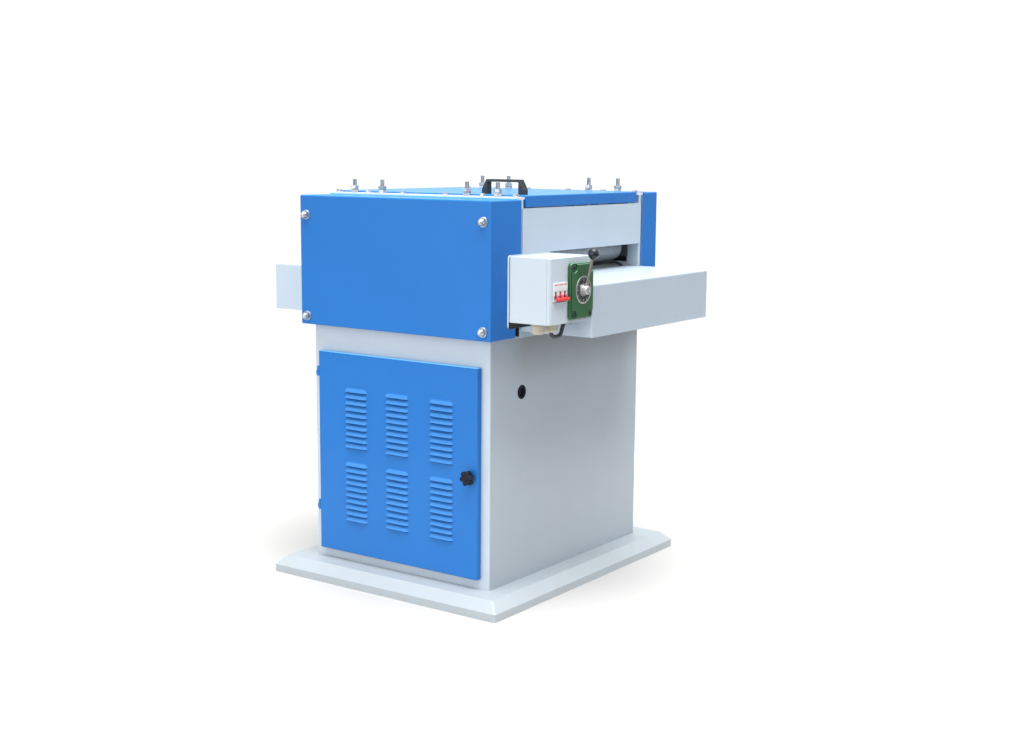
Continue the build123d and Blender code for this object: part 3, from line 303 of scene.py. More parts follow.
def floor_finish(name):
    k = Mat(name)
    tone = k.ramp(k.noise(0.7, 3.0), [(0.3, (0.484, 0.479, 0.472, 1)), (0.7, (0.498, 0.494, 0.487, 1))])
    return k.set(Base_Color=tone, Roughness=0.9, Specular_IOR_Level=0.05)


BLUE = (0.0160, 0.149, 0.467, 1.0)
GREY = (0.446, 0.526, 0.610, 1.0)
WHITE = (0.468, 0.540, 0.603, 1.0)

M = {
    "blue": paint("blue_paint", BLUE, rough=0.50, peel=0.04, wear_and_highlight=(0.12, 0.40, 0.80, 1), coat=0.22, spec=0.14, edge_highlight=0.8),
    # painted highlight: a lighter blue for the louvre hoods
    "hood_highlight": paint("blue_hood_highlight", (0.042, 0.205, 0.545, 1), rough=0.46, peel=0.03, wear_and_highlight=(0.14, 0.42, 0.80, 1), coat=0.16, spec=0.14, edge_highlight=0.5),
    # painted shadow: a dark blue for the sheet under each hood
    "louvre_shadow": paint("blue_louvre_shadow", (0.008, 0.075, 0.262, 1), rough=0.55, peel=0.03, spread=0.08, spec=0.1),
    # painted highlight: a light blue for the door's top edge and the cover lip
    "edge_highlight": paint("blue_edge_highlight", (0.15, 0.46, 0.88, 1), rough=0.40, peel=0.03, spread=0.06, coat=0.2, spec=0.2),
    # lid and near cover: painted highlight on their top faces
    "lid": paint("lid_paint", BLUE, rough=0.46, peel=0.04, wear_and_highlight=(0.12, 0.40, 0.80, 1), coat=0.32, spec=0.14, edge_highlight=0.8, top_highlight=(0.9655, 0.9668, (0.014, 0.196, 0.475, 1))),
    "cover": paint("cover_paint", BLUE, rough=0.50, peel=0.04, wear_and_highlight=(0.12, 0.40, 0.80, 1), coat=0.22, spec=0.14, edge_highlight=0.8, top_highlight=(0.9555, 0.9578, (0.014, 0.196, 0.475, 1))),
    "grey": paint("grey_paint", GREY, rough=0.40, peel=0.05, wear_and_highlight=(0.62, 0.68, 0.73, 1), dust_and_shade=0.18, coat=0.12, spec=0.3),
    # cabinet paint: a more neutral grey, lightened to stand in for light on the front (painted light); its +X side
    # takes painted shade and a painted shadow under the table
    "cabinet": paint("cabinet_paint", (0.466, 0.533, 0.597, 1), rough=0.40, peel=0.05, wear_and_highlight=(0.60, 0.66, 0.70, 1), dust_and_shade=0.18, coat=0.12, spec=0.3, feed_side_shade=(0.2712, 0.2732, 0.695, 0.66)),
    # infeed table: painted shade on its +X end
    "table": paint("table_paint", GREY, rough=0.40, peel=0.05, wear_and_highlight=(0.62, 0.68, 0.73, 1), dust_and_shade=0.18, coat=0.12, spec=0.3, feed_side_shade=(0.4915, 0.4936, 0.70, 0.0)),
    # plinth paint: darker and more neutral than the grey, and darker near the floor: painted shade from the head above,
    # and dust
    "plinth": paint("plinth_paint", (0.368, 0.420, 0.462, 1), rough=0.42, peel=0.05, wear_and_highlight=(0.60, 0.65, 0.69, 1), dust_and_shade=0.30, coat=0.10, spec=0.28),
    "white": paint("box_paint", WHITE, rough=0.34, peel=0.04, wear_and_highlight=(0.72, 0.74, 0.75, 1), coat=0.15, spec=0.3),
    "rail": paint("rail_paint", (0.70, 0.72, 0.735, 1), rough=0.34, peel=0.05, wear_and_highlight=(0.55, 0.56, 0.57, 1)),
    "zinc": zinc_plate("zinc", (0.52, 0.55, 0.585, 1), rough=0.34),
    "thread": zinc_plate("zinc_thread", (0.32, 0.34, 0.36, 1), rough=0.48),
    "steel": metal("machined_steel", (0.46, 0.47, 0.48, 1), rough=0.3, streak=(40, 1, 40)),
    "turned": metal("turned_steel", (0.50, 0.51, 0.52, 1), rough=0.26, streak=(1, 90, 1), aniso=0.4),
    "blade": metal("blade_steel", (0.58, 0.59, 0.60, 1), rough=0.22, streak=(1, 1, 1), spread=0.06),
    "plate": metal("ground_plate", (0.47, 0.48, 0.49, 1), rough=0.34, streak=(1, 60, 60), stain=(0.30, 0.25, 0.20, 1)),
    "galv": spangle("galvanised_roller", (0.33, 0.36, 0.38, 1)),
    # painted light: a lighter skin for the lower rollers, which lie in shade
    "galv_brightened": spangle("lower_roller_brightened", (0.50, 0.53, 0.55, 1)),
    "iron": casting("grey_iron", (0.10, 0.105, 0.11, 1)),
    "block": casting("block_iron", (0.050, 0.068, 0.078, 1), rough=0.5),
    "motor": casting("motor_paint", (0.075, 0.13, 0.19, 1), rough=0.42),
    "chrome": metal("polished_chrome", (0.62, 0.63, 0.64, 1), rough=0.28, streak=(20, 1, 1), spread=0.03, bump=0.004),
    "rod": metal("lever_rod", (0.34, 0.30, 0.27, 1), rough=0.38, streak=(30, 30, 1)),
    "green": hammered("green_hammer", (0.022, 0.095, 0.036, 1)),
    "dial": plastic("dial_black", (0.034, 0.036, 0.038, 1), rough=0.3, grain=1400, bump=0.03),
    "dial_mark": metal("dial_mark", (0.52, 0.54, 0.53, 1), rough=0.35, streak=(1, 1, 1)),
    "black": plastic("black_moulding", (0.018, 0.021, 0.028, 1), rough=0.46, edge_tone=(0.10, 0.115, 0.14, 1)),
    "handle": plastic("handle_black", (0.030, 0.036, 0.046, 1), rough=0.38, edge_tone=(0.12, 0.14, 0.17, 1), spec=0.3),
    "knob": plastic("knob_black", (0.006, 0.010, 0.020, 1), rough=0.20, bump=0.006, edge_tone=(0.06, 0.07, 0.09, 1), spec=0.18),
    "lead": rubber("lead_sheath", (0.045, 0.047, 0.050, 1)),
    "gasket": rubber("grey_gasket", (0.16, 0.17, 0.18, 1)),
    "ball": plastic("ball_gloss", (0.008, 0.011, 0.020, 1), rough=0.19, bump=0.004, spec=0.5),
    "breaker": plastic("breaker_white", (0.66, 0.68, 0.69, 1), rough=0.32, bump=0.02),
    "dark": plastic("shadow_grey", (0.05, 0.052, 0.055, 1), rough=0.6),
    "red": plastic("toggle_red", (0.66, 0.040, 0.045, 1), rough=0.28, bump=0.02, edge_tone=(0.80, 0.16, 0.16, 1)),
    "beige": plastic("gland_beige", (0.47, 0.435, 0.35, 1), rough=0.42, bump=0.05),
    "rubber": rubber("black_rubber", (0.014, 0.015, 0.017, 1)),
    "plug": plastic("plug_rubber", (0.0045, 0.0070, 0.0120, 1), rough=0.6, bump=0.03, spec=0.12),
    "collar": rubber("collar_grey", (0.34, 0.40, 0.46, 1)),
    "hub": metal("hub_metal", (0.56, 0.565, 0.57, 1), rough=0.46, streak=(60, 1, 1), bump=0.01),
    "crimson": plastic("toggle_crimson", (0.40, 0.010, 0.036, 1), rough=0.34, bump=0.02, edge_tone=(0.55, 0.06, 0.08, 1)),
    # painted highlight: pale green for the upward faces of the switch casting
    "green_highlight": hammered("green_top_highlight", (0.13, 0.26, 0.19, 1)),
    # painted shade: grey for the backs of the breaker's toggle slots
    "recess": plastic("breaker_recess", (0.26, 0.27, 0.28, 1), rough=0.5),
    "belt": rubber("belt_rubber", (0.020, 0.021, 0.022, 1)),
    "spring": metal("spring_wire", (0.30, 0.31, 0.33, 1), rough=0.3, streak=(1, 1, 1)),
}


# ================================================================ mesh helpers
class Shape:
    """A mesh in the making, in millimetres; parts are appended to it with a material number."""

    def __init__(self):
        self.bm = bmesh.new()

    def take(self, part, mat=0):
        if mat is not None:
            for f in part.faces:
                f.material_index = mat
        tmp = bpy.data.meshes.new("tmp")
        part.to_mesh(tmp)
        part.free()
        self.bm.from_mesh(tmp)
        bpy.data.meshes.remove(tmp)
        return self

    def done(self, name, mats, body, replaces=(), sharp=38.0, weighted=True):
        bm = self.bm
        bmesh.ops.remove_doubles(bm, verts=bm.verts, dist=1e-4)
        bmesh.ops.recalc_face_normals(bm, faces=bm.faces)
        limit = math.radians(sharp)
        for f in bm.faces:
            f.smooth = True
        for e in bm.edges:
            e.smooth = len(e.link_faces) == 2 and e.calc_face_angle(0.0) < limit
        bmesh.ops.scale(bm, vec=(MM, MM, MM), verts=bm.verts)
        me = bpy.data.meshes.new(name)
        bm.to_mesh(me)
        bm.free()
        for m in mats:
            me.materials.append(M[m])
        ob = bpy.data.objects.new(name, me)
        bpy.context.scene.collection.objects.link(ob)
        if weighted:
            wn = ob.modifiers.new("weighted", "WEIGHTED_NORMAL")
            wn.keep_sharp = True
            wn.weight = 60
        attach(ob, body)
        if replaces:
            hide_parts(*replaces)
        return ob


def bevel(bm, edges, width, segments=3):
    if edges:
        bmesh.ops.bevel(bm, geom=list(edges), offset=width, offset_type="OFFSET", segments=segments, profile=0.5,
                        affect="EDGES", clamp_overlap=True)


def box(x0, x1, y0, y1, z0, z1, edge=0.0, segments=2):
    bm = bmesh.new()
    vs = [bm.verts.new((x, y, z)) for z in (z0, z1) for y in (y0, y1) for x in (x0, x1)]
    for q in ((0, 2, 3, 1), (4, 5, 7, 6), (0, 1, 5, 4), (2, 6, 7, 3), (0, 4, 6, 2), (1, 3, 7, 5)):
        bm.faces.new([vs[i] for i in q])
    if edge:
        bevel(bm, bm.edges[:], edge, segments)
    return bm


AXES = {"x": (Vector((1, 0, 0)), Vector((0, 1, 0)), Vector((0, 0, 1))),
        "y": (Vector((0, 1, 0)), Vector((0, 0, 1)), Vector((1, 0, 0))),
        "z": (Vector((0, 0, 1)), Vector((1, 0, 0)), Vector((0, 1, 0)))}


def rings(centre, axis, rows, segs=40, phase=0.0, closed=False):
    """Skin over rows of (height, radius or radius function of the angle)."""
    if isinstance(axis, str):
        d, u, v = AXES[axis]
    else:
        d = Vector(axis).normalized()
        u = d.orthogonal().normalized()
        v = d.cross(u)
    c = Vector(centre)
    bm = bmesh.new()
    loops = []
    for h, r in rows:
        if not callable(r) and r <= 1e-6:
            loops.append([bm.verts.new(c + d * h)])
            continue
        loop = []
        for i in range(segs):
            a = phase + TAU * i / segs
            hh, rr = h, r
            if callable(r):
                rr = r(a)
            if isinstance(rr, tuple):
                rr, lift = rr
                hh = h + lift
            loop.append(bm.verts.new(c + d * hh + (u * math.cos(a) + v * math.sin(a)) * rr))
        loops.append(loop)
    if closed:
        loops.append(loops[0])
    for a, b in zip(loops, loops[1:]):
        if len(a) == 1 and len(b) == 1:
            continue
        for i in range(segs):
            j = (i + 1) % segs
            if len(a) == 1:
                bm.faces.new((a[0], b[j], b[i]))
            elif len(b) == 1:
                bm.faces.new((a[i], a[j], b[0]))
            else:
                bm.faces.new((a[i], a[j], b[j], b[i]))
    if not closed:
        for loop in (loops[0], loops[-1]):
            if len(loop) > 2:
                bm.faces.new(loop)
    bmesh.ops.recalc_face_normals(bm, faces=bm.faces)
    return bm


def cylinder(centre, axis, h0, h1, r, edge=0.4, segs=32):
    e = min(edge, r * 0.45, abs(h1 - h0) * 0.45)
    rows = [(h0, 0), (h0, r - e), (h0 + e * 0.3, r - e * 0.3), (h0 + e, r), (h1 - e, r), (h1 - e * 0.3, r - e * 0.3), (h1, r - e), (h1, 0)]
    return rings(centre, axis, rows, segs)


def hex_nut(centre, axis, h0, h1, across, both=True, segs=48, phase=0.0, bore=0.0):
    """Hexagon with its corners turned down at 30 degrees."""
    apothem = across / 2
    rim = apothem * 0.965

    def flat(a):
        return apothem / math.cos(((a - phase) % (TAU / 6)) - TAU / 12)

    def top(a):
        r = flat(a)
        return r, -max(0.0, r - rim) * math.tan(math.radians(30))

    def bottom(a):
        r = flat(a)
        return r, max(0.0, r - rim) * math.tan(math.radians(30))

    rows = [(h0, bore)] if bore == 0 else [(h0, bore)]
    rows += [(h0, rim), (h0, bottom)] if both else [(h0, flat)]
    rows += [(h1, top), (h1, rim), (h1, bore)]
    if bore:
        return rings(centre, axis, rows, segs, phase, closed=True)
    return rings(centre, axis, rows, segs, phase)


def thread(centre, axis, h0, h1, r, pitch=1.5, depth=0.75, segs=20):
    """Screw thread: the crest climbs one pitch per turn."""
    rows = [(h0, 0), (h0, r - depth)]
    steps = int((h1 - h0) / (pitch / 5))
    for k in range(1, steps):
        h = h0 + (h1 - h0) * k / steps

        def prof(a, h=h):
            t = (h / pitch - a / TAU) % 1.0
            tri = abs(2 * t - 1)
            return r - depth * (1 - min(1.0, tri * 1.25))
        rows.append((h, prof))
    rows += [(h1 - 0.2, r - depth), (h1, r - depth - 0.8), (h1, 0)]
    return rings(centre, axis, rows, segs)


def plate(outline, axis, h0, h1, edge=0.0, segments=2, holes=()):
    """Flat outline (in the two directions across the axis) given a thickness."""
    d, u, v = AXES[axis]
    bm = bmesh.new()
    face = bm.faces.new([bm.verts.new(d * h0 + u * p[0] + v * p[1]) for p in outline])
    out = bmesh.ops.extrude_face_region(bm, geom=[face])
    bmesh.ops.translate(bm, vec=d * (h1 - h0), verts=[e for e in out["geom"] if isinstance(e, bmesh.types.BMVert)])
    bmesh.ops.recalc_face_normals(bm, faces=bm.faces)
    if edge:
        bm.normal_update()
        rim = [e for e in bm.edges if len(e.link_faces) == 2 and e.calc_face_angle(0) > math.radians(50)
               and abs((e.verts[0].co - e.verts[1].co).normalized().dot(d)) < 0.5]
        bevel(bm, rim, edge, segments)
    return bm


def tube(points, r, segs=14, caps=True):
    """Round bar along a line of points."""
    pts = [Vector(p) for p in points]
    bm = bmesh.new()
    loops = []
    up = None
    for i, p in enumerate(pts):
        t = (pts[min(i + 1, len(pts) - 1)] - pts[max(i - 1, 0)]).normalized()
        if up is None:
            up = t.orthogonal().normalized()
        up = (up - t * up.dot(t)).normalized()
        side = t.cross(up)
        loops.append([bm.verts.new(p + (up * math.cos(TAU * k / segs) + side * math.sin(TAU * k / segs)) * r) for k in range(segs)])
    for a, b in zip(loops, loops[1:]):
        for i in range(segs):
            j = (i + 1) % segs
            bm.faces.new((a[i], a[j], b[j], b[i]))
    if caps:
        bm.faces.new(loops[0])
        bm.faces.new(loops[-1])
    bmesh.ops.recalc_face_normals(bm, faces=bm.faces)
    return bm


def rounded_rect(u0, u1, v0, v1, r, n=5):
    pts = []
    for cu, cv, a0 in ((u1 - r, v1 - r, 0), (u0 + r, v1 - r, 90), (u0 + r, v0 + r, 180), (u1 - r, v0 + r, 270)):
        for i in range(n + 1):
            a = math.radians(a0 + 90 * i / n)
            pts.append((cu + r * math.cos(a), cv + r * math.sin(a)))
    return pts


# ================================================================ cabinet door
DOOR_X0, DOOR_X1, DOOR_Z0, DOOR_Z1 = -247.6, 249.0, 67.0, 573.6
DOOR_Y, DOOR_DEEP = -348.5, 14.5
HINGE_X, HINGE_Y, HINGE_Z, HINGE_HALF = -253.2, -341.0, (520.0, 177.0), 12.5
LOUVRE_X, LOUVRE_Z = (-124.0, 6.8, 142.8), (414.3, 228.1)
LOUVRE_W, LOUVRE_PITCH, LOUVRE_N = 71.0, 15.55, 10
HOOD_LOW, HOOD_TOP, HOOD_DEEP, HOOD_END = -6.0, 5.2, 6.4, 13.0
KNOB_X, KNOB_Z = 230.6, 314.5


def door():
    # columns of points crowd into the rounded ends of the hoods
    ends = [HOOD_END / LOUVRE_W * (1 - math.cos(math.radians(9 * k))) for k in range(11)] + [0.3, 0.4]
    across = ends + [0.5] + [1 - e for e in reversed(ends)]
    xs, col_of = [DOOR_X0], {}
    for c, cx in enumerate(LOUVRE_X):
        for u in across:
            col_of[len(xs)] = (c, u)
            xs.append(cx - LOUVRE_W / 2 + LOUVRE_W * u)
    xs.append(DOOR_X1)
    down = [0.0, 0.05, 0.13, 0.25, 0.4, 0.56, 0.72, 0.87, 0.96, 1.0]
    zs, row_of = [DOOR_Z0], {}
    louvres = sorted(cz + (k - (LOUVRE_N - 1) / 2) * LOUVRE_PITCH for cz in LOUVRE_Z for k in range(LOUVRE_N))
    for n, zc in enumerate(louvres):
        # an extra row under the lowest hood of each group, so the painted shadow runs under it too
        if n % LOUVRE_N == 0:
            zs.append(zc + HOOD_LOW - 3.6)
        for w in reversed(down):
            row_of[len(zs)] = (n, w)
            zs.append(zc + HOOD_TOP + (HOOD_LOW - HOOD_TOP) * w)
    zs.append(DOOR_Z1)
    bm = bmesh.new()
    flat, hood = {}, {}

    def swell(u):
        """How far the hood's section has grown at a place along it, from 0 at the tips to 1."""
        e = max(0.0, 1 - min(u, 1 - u) * LOUVRE_W / HOOD_END)
        return math.sqrt(max(0.0, 1 - e * e))

    def depth(u, w):
        return HOOD_DEEP * swell(u) * (w * (1.45 - 0.45 * w))

    def vert(i, j, raised):
        if raised:
            u, w = col_of[i][1], row_of[j][1]
            d = depth(u, w)
            if d > 1e-6:
                if (i, j) not in hood:
                    lip = zs[j] - (1 - w) * (HOOD_TOP - HOOD_LOW)
                    hood[i, j] = bm.verts.new((xs[i], DOOR_Y - d, lip + (1 - w) * (HOOD_TOP - HOOD_LOW) * (0.12 + 0.88 * swell(u))))
                return hood[i, j]
        if (i, j) not in flat:
            flat[i, j] = bm.verts.new((xs[i], DOOR_Y, zs[j]))
        return flat[i, j]

    for i in range(len(xs) - 1):
        for j in range(len(zs) - 1):
            raised = (i in col_of and i + 1 in col_of and col_of[i][0] == col_of[i + 1][0]
                      and j in row_of and j + 1 in row_of and row_of[j][0] == row_of[j + 1][0])
            f = bm.faces.new((vert(i, j, raised), vert(i + 1, j, raised), vert(i + 1, j + 1, raised), vert(i, j + 1, raised)))
            # painted highlight: the lower part of each hood takes the lighter blue; its upper part keeps the door's
            # blue
            f.material_index = 1 if raised and row_of[j + 1][1] > 0.2 else 0
            # painted shadow: the sheet just below each hood's lip takes the dark blue
            if (not raised and i in col_of and i + 1 in col_of and col_of[i][0] == col_of[i + 1][0] and j + 1 in row_of and row_of[j + 1][1] == 1.0
                    and col_of[i][1] > 0.03 and col_of[i + 1][1] < 0.97):
                f.material_index = 3
    # folded sides
    nx, nz = len(xs) - 1, len(zs) - 1
    rim = [(i, 0) for i in range(nx)] + [(nx, j) for j in range(nz)] + [(i, nz) for i in range(nx, 0, -1)] + [(0, j) for j in range(nz, 0, -1)]
    back = [bm.verts.new((xs[i], DOOR_Y + DOOR_DEEP, zs[j])) for i, j in rim]
    front = [vert(i, j, False) for i, j in rim]
    for a in range(len(rim)):
        b = (a + 1) % len(rim)
        bm.faces.new((front[a], back[a], back[b], front[b]))
    bmesh.ops.recalc_face_normals(bm, faces=bm.faces)
    bm.normal_update()
    folds = [e for e in bm.edges if len(e.link_faces) == 2 and e.calc_face_angle(0) > math.radians(80)
             and all(abs(v.co.y - DOOR_Y) < 1e-4 for v in e.verts)
             and (all(abs(v.co.x - DOOR_X0) < 1e-4 for v in e.verts) or all(abs(v.co.x - DOOR_X1) < 1e-4 for v in e.verts)
                  or all(abs(v.co.z - DOOR_Z0) < 1e-4 for v in e.verts) or all(abs(v.co.z - DOOR_Z1) < 1e-4 for v in e.verts))]
    corners = [e for e in bm.edges if abs(e.verts[0].co.x - e.verts[1].co.x) < 1e-4 and abs(e.verts[0].co.z - e.verts[1].co.z) < 1e-4
               and abs(e.verts[0].co.y - e.verts[1].co.y) > 10 and min(abs(e.verts[0].co.x - DOOR_X0), abs(e.verts[0].co.x - DOOR_X1)) < 1e-4
               and min(abs(e.verts[0].co.z - DOOR_Z0), abs(e.verts[0].co.z - DOOR_Z1)) < 1e-4]
    bevel(bm, folds + corners, 3.0, 4)
    bm.normal_update()
    # painted highlight: faces on the door's top edge take the light blue
    for f in bm.faces:
        if f.normal.z > 0.3 and f.calc_center_median().z > DOOR_Z1 - 3.2:
            f.material_index = 2
    skin = Shape()
    skin.take(bm, None)
    ob = skin.done("door_skin", ["blue", "hood_highlight", "edge_highlight", "louvre_shadow"], "door", ["cabinet_door"], sharp=50)
    shell = ob.modifiers.new("sheet", "SOLIDIFY")
    shell.thickness = 1.6 * MM
    shell.offset = -1.0
    shell.use_even_offset = True
    shell.use_rim = True
    ob.modifiers.move(1, 0)
    # hinge knuckles welded to the edge
    knuckles = Shape()
    for z in HINGE_Z:
        knuckles.take(cylinder((HINGE_X, HINGE_Y, 0), "z", z + 0.5, z + HINGE_HALF, 5.0, 0.8, 28))
        knuckles.take(box(HINGE_X + 1, DOOR_X0 + 1.0, HINGE_Y - 2.2, HINGE_Y + 2.2, z + 1.2, z + HINGE_HALF - 0.8, 0.6))
    knuckles.done("door_knuckles", ["blue"], "door", ())
    # angle stiffeners inside, above and below the louvres
    ribs = Shape()
    for z in (528.0, 318.0, 112.0):
        ribs.take(box(-220, 200 if z == 318.0 else 226, DOOR_Y + 1.7, DOOR_Y + 10, z - 1.2, z + 1.2, 0.5))
        ribs.take(box(-220, 200 if z == 318.0 else 226, DOOR_Y + 8.6, DOOR_Y + 11, z - 12, z + 1.2, 0.5))
    ribs.done("door_stiffeners", ["blue"], "door", ())
    return ob


door()


def knob():
    s = Shape()
    lobes = 6

    def star(scale, cut=1.0):
        def f(a):
            c = 0.5 + 0.5 * math.cos(lobes * (a - math.radians(30)))
            return scale * (13.0 + 5.6 * cut * (c ** 0.75))
        return f
    y = DOOR_Y - 8.0
    rows = [(0, 0), (0, star(0.80)), (0.7, star(0.93)), (2.2, star(1.0)), (10.5, star(1.0)), (12.8, star(0.97)), (14.2, star(0.90)),
            (15.0, star(0.76, 0.8)), (15.0, 9.0), (14.2, 8.2), (14.0, 7.4), (14.0, 0)]
    s.take(rings((KNOB_X, y, KNOB_Z), (0, -1, 0), rows, 96), 0)
    s.take(rings((KNOB_X, y, KNOB_Z), (0, -1, 0), [(14.0, 0), (14.0, 4.6), (14.9, 4.4), (15.3, 3.2), (15.3, 0)], 32), 0)
    s.take(rings((KNOB_X, y, KNOB_Z), (0, -1, 0), [(0.3, 0), (0.3, 8.4), (-3.0, 9.0), (-6.6, 9.4), (-7.5, 9.0), (-7.5, 0)], 40), 0)
    s.take(cylinder((KNOB_X, 0, KNOB_Z), "y", DOOR_Y - 1, -322.0, 5.0, 0.5, 28), 1)
    return s.done("star_knob", ["knob", "zinc"], "latch", ["door_knob"])


knob()


# ================================================================== lid handle
def handle():
    hx, hy, hz, hh = 201.0, -180.0, 967.0, 35.0
    half, foot, top = 61.0, 12.0, 48.5
    s = Shape()
    outline = [(-half, 0), (-half, foot), (-top, hh), (top, hh), (half, foot), (half, 0), (45, 0), (45, 28.8), (-45, 28.8), (-45, 0)]
    d = 9.0
    bm = bmesh.new()
    face = bm.faces.new([bm.verts.new((hx + p[0], hy - d, hz + p[1])) for p in outline])
    out = bmesh.ops.extrude_face_region(bm, geom=[face])
    bmesh.ops.translate(bm, vec=(0, 2 * d, 0), verts=[e for e in out["geom"] if isinstance(e, bmesh.types.BMVert)])
    bmesh.ops.recalc_face_normals(bm, faces=bm.faces)
    bm.normal_update()
    # screw pockets sunk into the sloped shoulders
    for f in [f for f in bm.faces if abs(f.normal.x) > 0.6 and f.normal.z > 0.2]:
        inner = bmesh.ops.inset_individual(bm, faces=[f], thickness=2.6, depth=0.0)
        sink = bmesh.ops.extrude_face_region(bm, geom=[f])
        moved = [v for v in sink["geom"] if isinstance(v, bmesh.types.BMVert)]
        bmesh.ops.translate(bm, vec=(-0.9 * math.copysign(1, f.normal.x), 0, -6.5), verts=moved)
        bmesh.ops.delete(bm, geom=[f], context="FACES_ONLY")
    bmesh.ops.recalc_face_normals(bm, faces=bm.faces)
    bm.normal_update()
    soft = [e for e in bm.edges if len(e.link_faces) == 2 and e.calc_face_angle(0) > math.radians(24)
            and not (abs(e.verts[0].co.z - hz) < 0.01 and abs(e.verts[1].co.z - hz) < 0.01)]
    bevel(bm, soft, 0.95, 2)
    s.take(bm, 0)
    for sx in (-1, 1):
        s.take(hex_nut((hx + sx * 52.2, hy, hz), "z", 9.0, 13.6, 8.0, segs=36), 1)
    return s.done("lid_grip", ["handle", "zinc"], "lid", ["lid_handle"], sharp=30)


handle()

# ================================================= bolts, nuts and pressure studs
HEAD_X, HEAD_TOP, RAIL_TOP = 5.0, 958.0, 963.5
STUD_Y = (-242.0, 294.0)
ROLLER_X = (-216.0, -126.0, 136.0, 226.0)
RAIL_BOLT_X = [HEAD_X + sg * d for d in (66, 176, 273) for sg in (-1, 1)]


def rail_bolts():
    s = Shape()
    for i, x in enumerate(RAIL_BOLT_X):
        for y in STUD_Y:
            s.take(rings((x, y, RAIL_TOP), "z", [(0, 0), (0, 7.4), (0.3, 7.9), (1.0, 7.9), (1.25, 7.6), (1.25, 0)], 36))
            s.take(hex_nut((x, y, RAIL_TOP), "z", 1.25, 6.1, 13.0, both=False, segs=48, phase=0.3 * i + 0.002 * y))
            s.take(cylinder((x, y, 0), "z", HEAD_TOP - 18, RAIL_TOP + 1.2, 4.0, 0.4, 20))
    return s.done("rail_bolt_set", ["zinc"], "frame", ["rail_bolts"], sharp=32)


rail_bolts()


def cover_nuts():
    s = Shape()
    for out, seat, root in ((-1, -365.5, -236.0), (1, 377.6, 288.0)):
        for x in (HEAD_X - 271, HEAD_X + 271):
            for z in (660.5, 910.0):
                c, ax = (x, seat, z), (0, out, 0)
                s.take(rings(c, ax, [(0, 0), (0, 11.6), (0.4, 12.0), (1.9, 12.0), (2.4, 11.5), (2.4, 0)], 48))
                s.take(hex_nut(c, ax, 2.4, 10.4, 17.0, both=True, segs=48, phase=0.4 + 0.01 * x))
                dome = [(9.9, 0), (9.9, 8.0)]
                for i in range(1, 9):
                    a = math.radians(90 * i / 8)
                    dome.append((10.0 + 7.6 * math.sin(a), 7.9 * math.cos(a) if i < 8 else 0))
                s.take(rings(c, ax, dome, 40))
                y0, y1 = sorted((root, seat))
                s.take(cylinder((x, 0, z), "y", y0, y1, 5.0, 0.5, 24))
    return s.done("cover_nut_set", ["zinc"], "frame", ["cover_fasteners"], sharp=32)


cover_nuts()


def pressure_blocks():
    for i, x in enumerate(ROLLER_X):
        s = Shape()
        for n, (y0, y1, sy) in enumerate(((-248.0, -236.0, STUD_Y[0]), (288.0, 300.0, STUD_Y[1]))):
            # bearing block: slotted body with a cheek on each face of the plate, bored for the journal
            for a, b, w in ((y0 - 4.5, y0 - 0.35, 38.0), (y0 - 0.35, y1 + 0.35, 34.65), (y1 + 0.35, y1 + 4.5, 38.0)):
                n_arc = 28
                outer = rounded_rect(x - w, x + w, 797.4, 877.0, 2.0, 3)
                ring_in = [(x + 12.7 * math.cos(TAU * k / n_arc), 822.0 + 12.7 * math.sin(TAU * k / n_arc)) for k in range(n_arc)]
                s.take(bored_slab(outer, ring_in, a, b), 0)
            s.take(thread((x, sy, 0), "z", 872.0, 996.5 if n == 0 else 1000.0, 5.0, 1.5, 0.7, 20), 1)
            s.take(hex_nut((x, sy, RAIL_TOP), "z", 0.15, 8.5, 17.0, segs=48, phase=0.35 * i + 0.2 * n), 2)
            s.take(hex_nut((x, sy, RAIL_TOP), "z", 8.8, 17.15, 17.0, segs=48, phase=0.35 * i + 0.2 * n + 0.33), 2)
        s.done(f"pressure_block_set_{i + 1}", ["block", "thread", "zinc"], f"pressure_block_{i + 1}", [f"carriage_{i + 1}"], sharp=32)


def bored_slab(outer, inner, y0, y1):
    """Upright slab between y0 and y1 with one round hole; outlines are (x, z) points."""
    bm = bmesh.new()
    sides = []
    for y in (y0, y1):
        o = [bm.verts.new((p[0], y, p[1])) for p in outer]
        k = [bm.verts.new((p[0], y, p[1])) for p in inner]
        eo = [bm.edges.new((o[i], o[(i + 1) % len(o)])) for i in range(len(o))]
        ek = [bm.edges.new((k[i], k[(i + 1) % len(k)])) for i in range(len(k))]
        bmesh.ops.triangle_fill(bm, use_beauty=True, edges=eo + ek)
        sides.append((o, k))
    for a, b in zip(sides[0], sides[1]):
        for i in range(len(a)):
            j = (i + 1) % len(a)
            bm.faces.new((a[i], a[j], b[j], b[i]))
    bmesh.ops.recalc_face_normals(bm, faces=bm.faces)
    return bm


pressure_blocks()


def springs():
    z0, z1, wire, r = 877.1, 957.9, 1.5, 8.2
    for i, x in enumerate(ROLLER_X):
        s = Shape()
        for y in STUD_Y:
            pts, turns = [], 8.0
            n = int(turns * 26)
            for k in range(n + 1):
                t = k / n
                a = TAU * turns * t
                # closed end coils, open in between
                e = min(t, 1 - t) * turns
                h = t
                if e < 1.0:
                    h = (t * turns * 0.42) / turns if t < 0.5 else 1 - ((1 - t) * turns * 0.42) / turns
                else:
                    lo = 0.42 / turns
                    h = lo + (t - 1 / turns) / (1 - 2 / turns) * (1 - 2 * lo)
                pts.append((x + r * math.cos(a), y + r * math.sin(a), z0 + wire + (z1 - z0 - 2 * wire) * h))
            s.take(tube(pts, wire, 10))
        ob = s.done(f"pressure_coil_{i + 1}", ["spring"], "frame", ["pressure_springs"], weighted=False)
        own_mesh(ob)


springs()

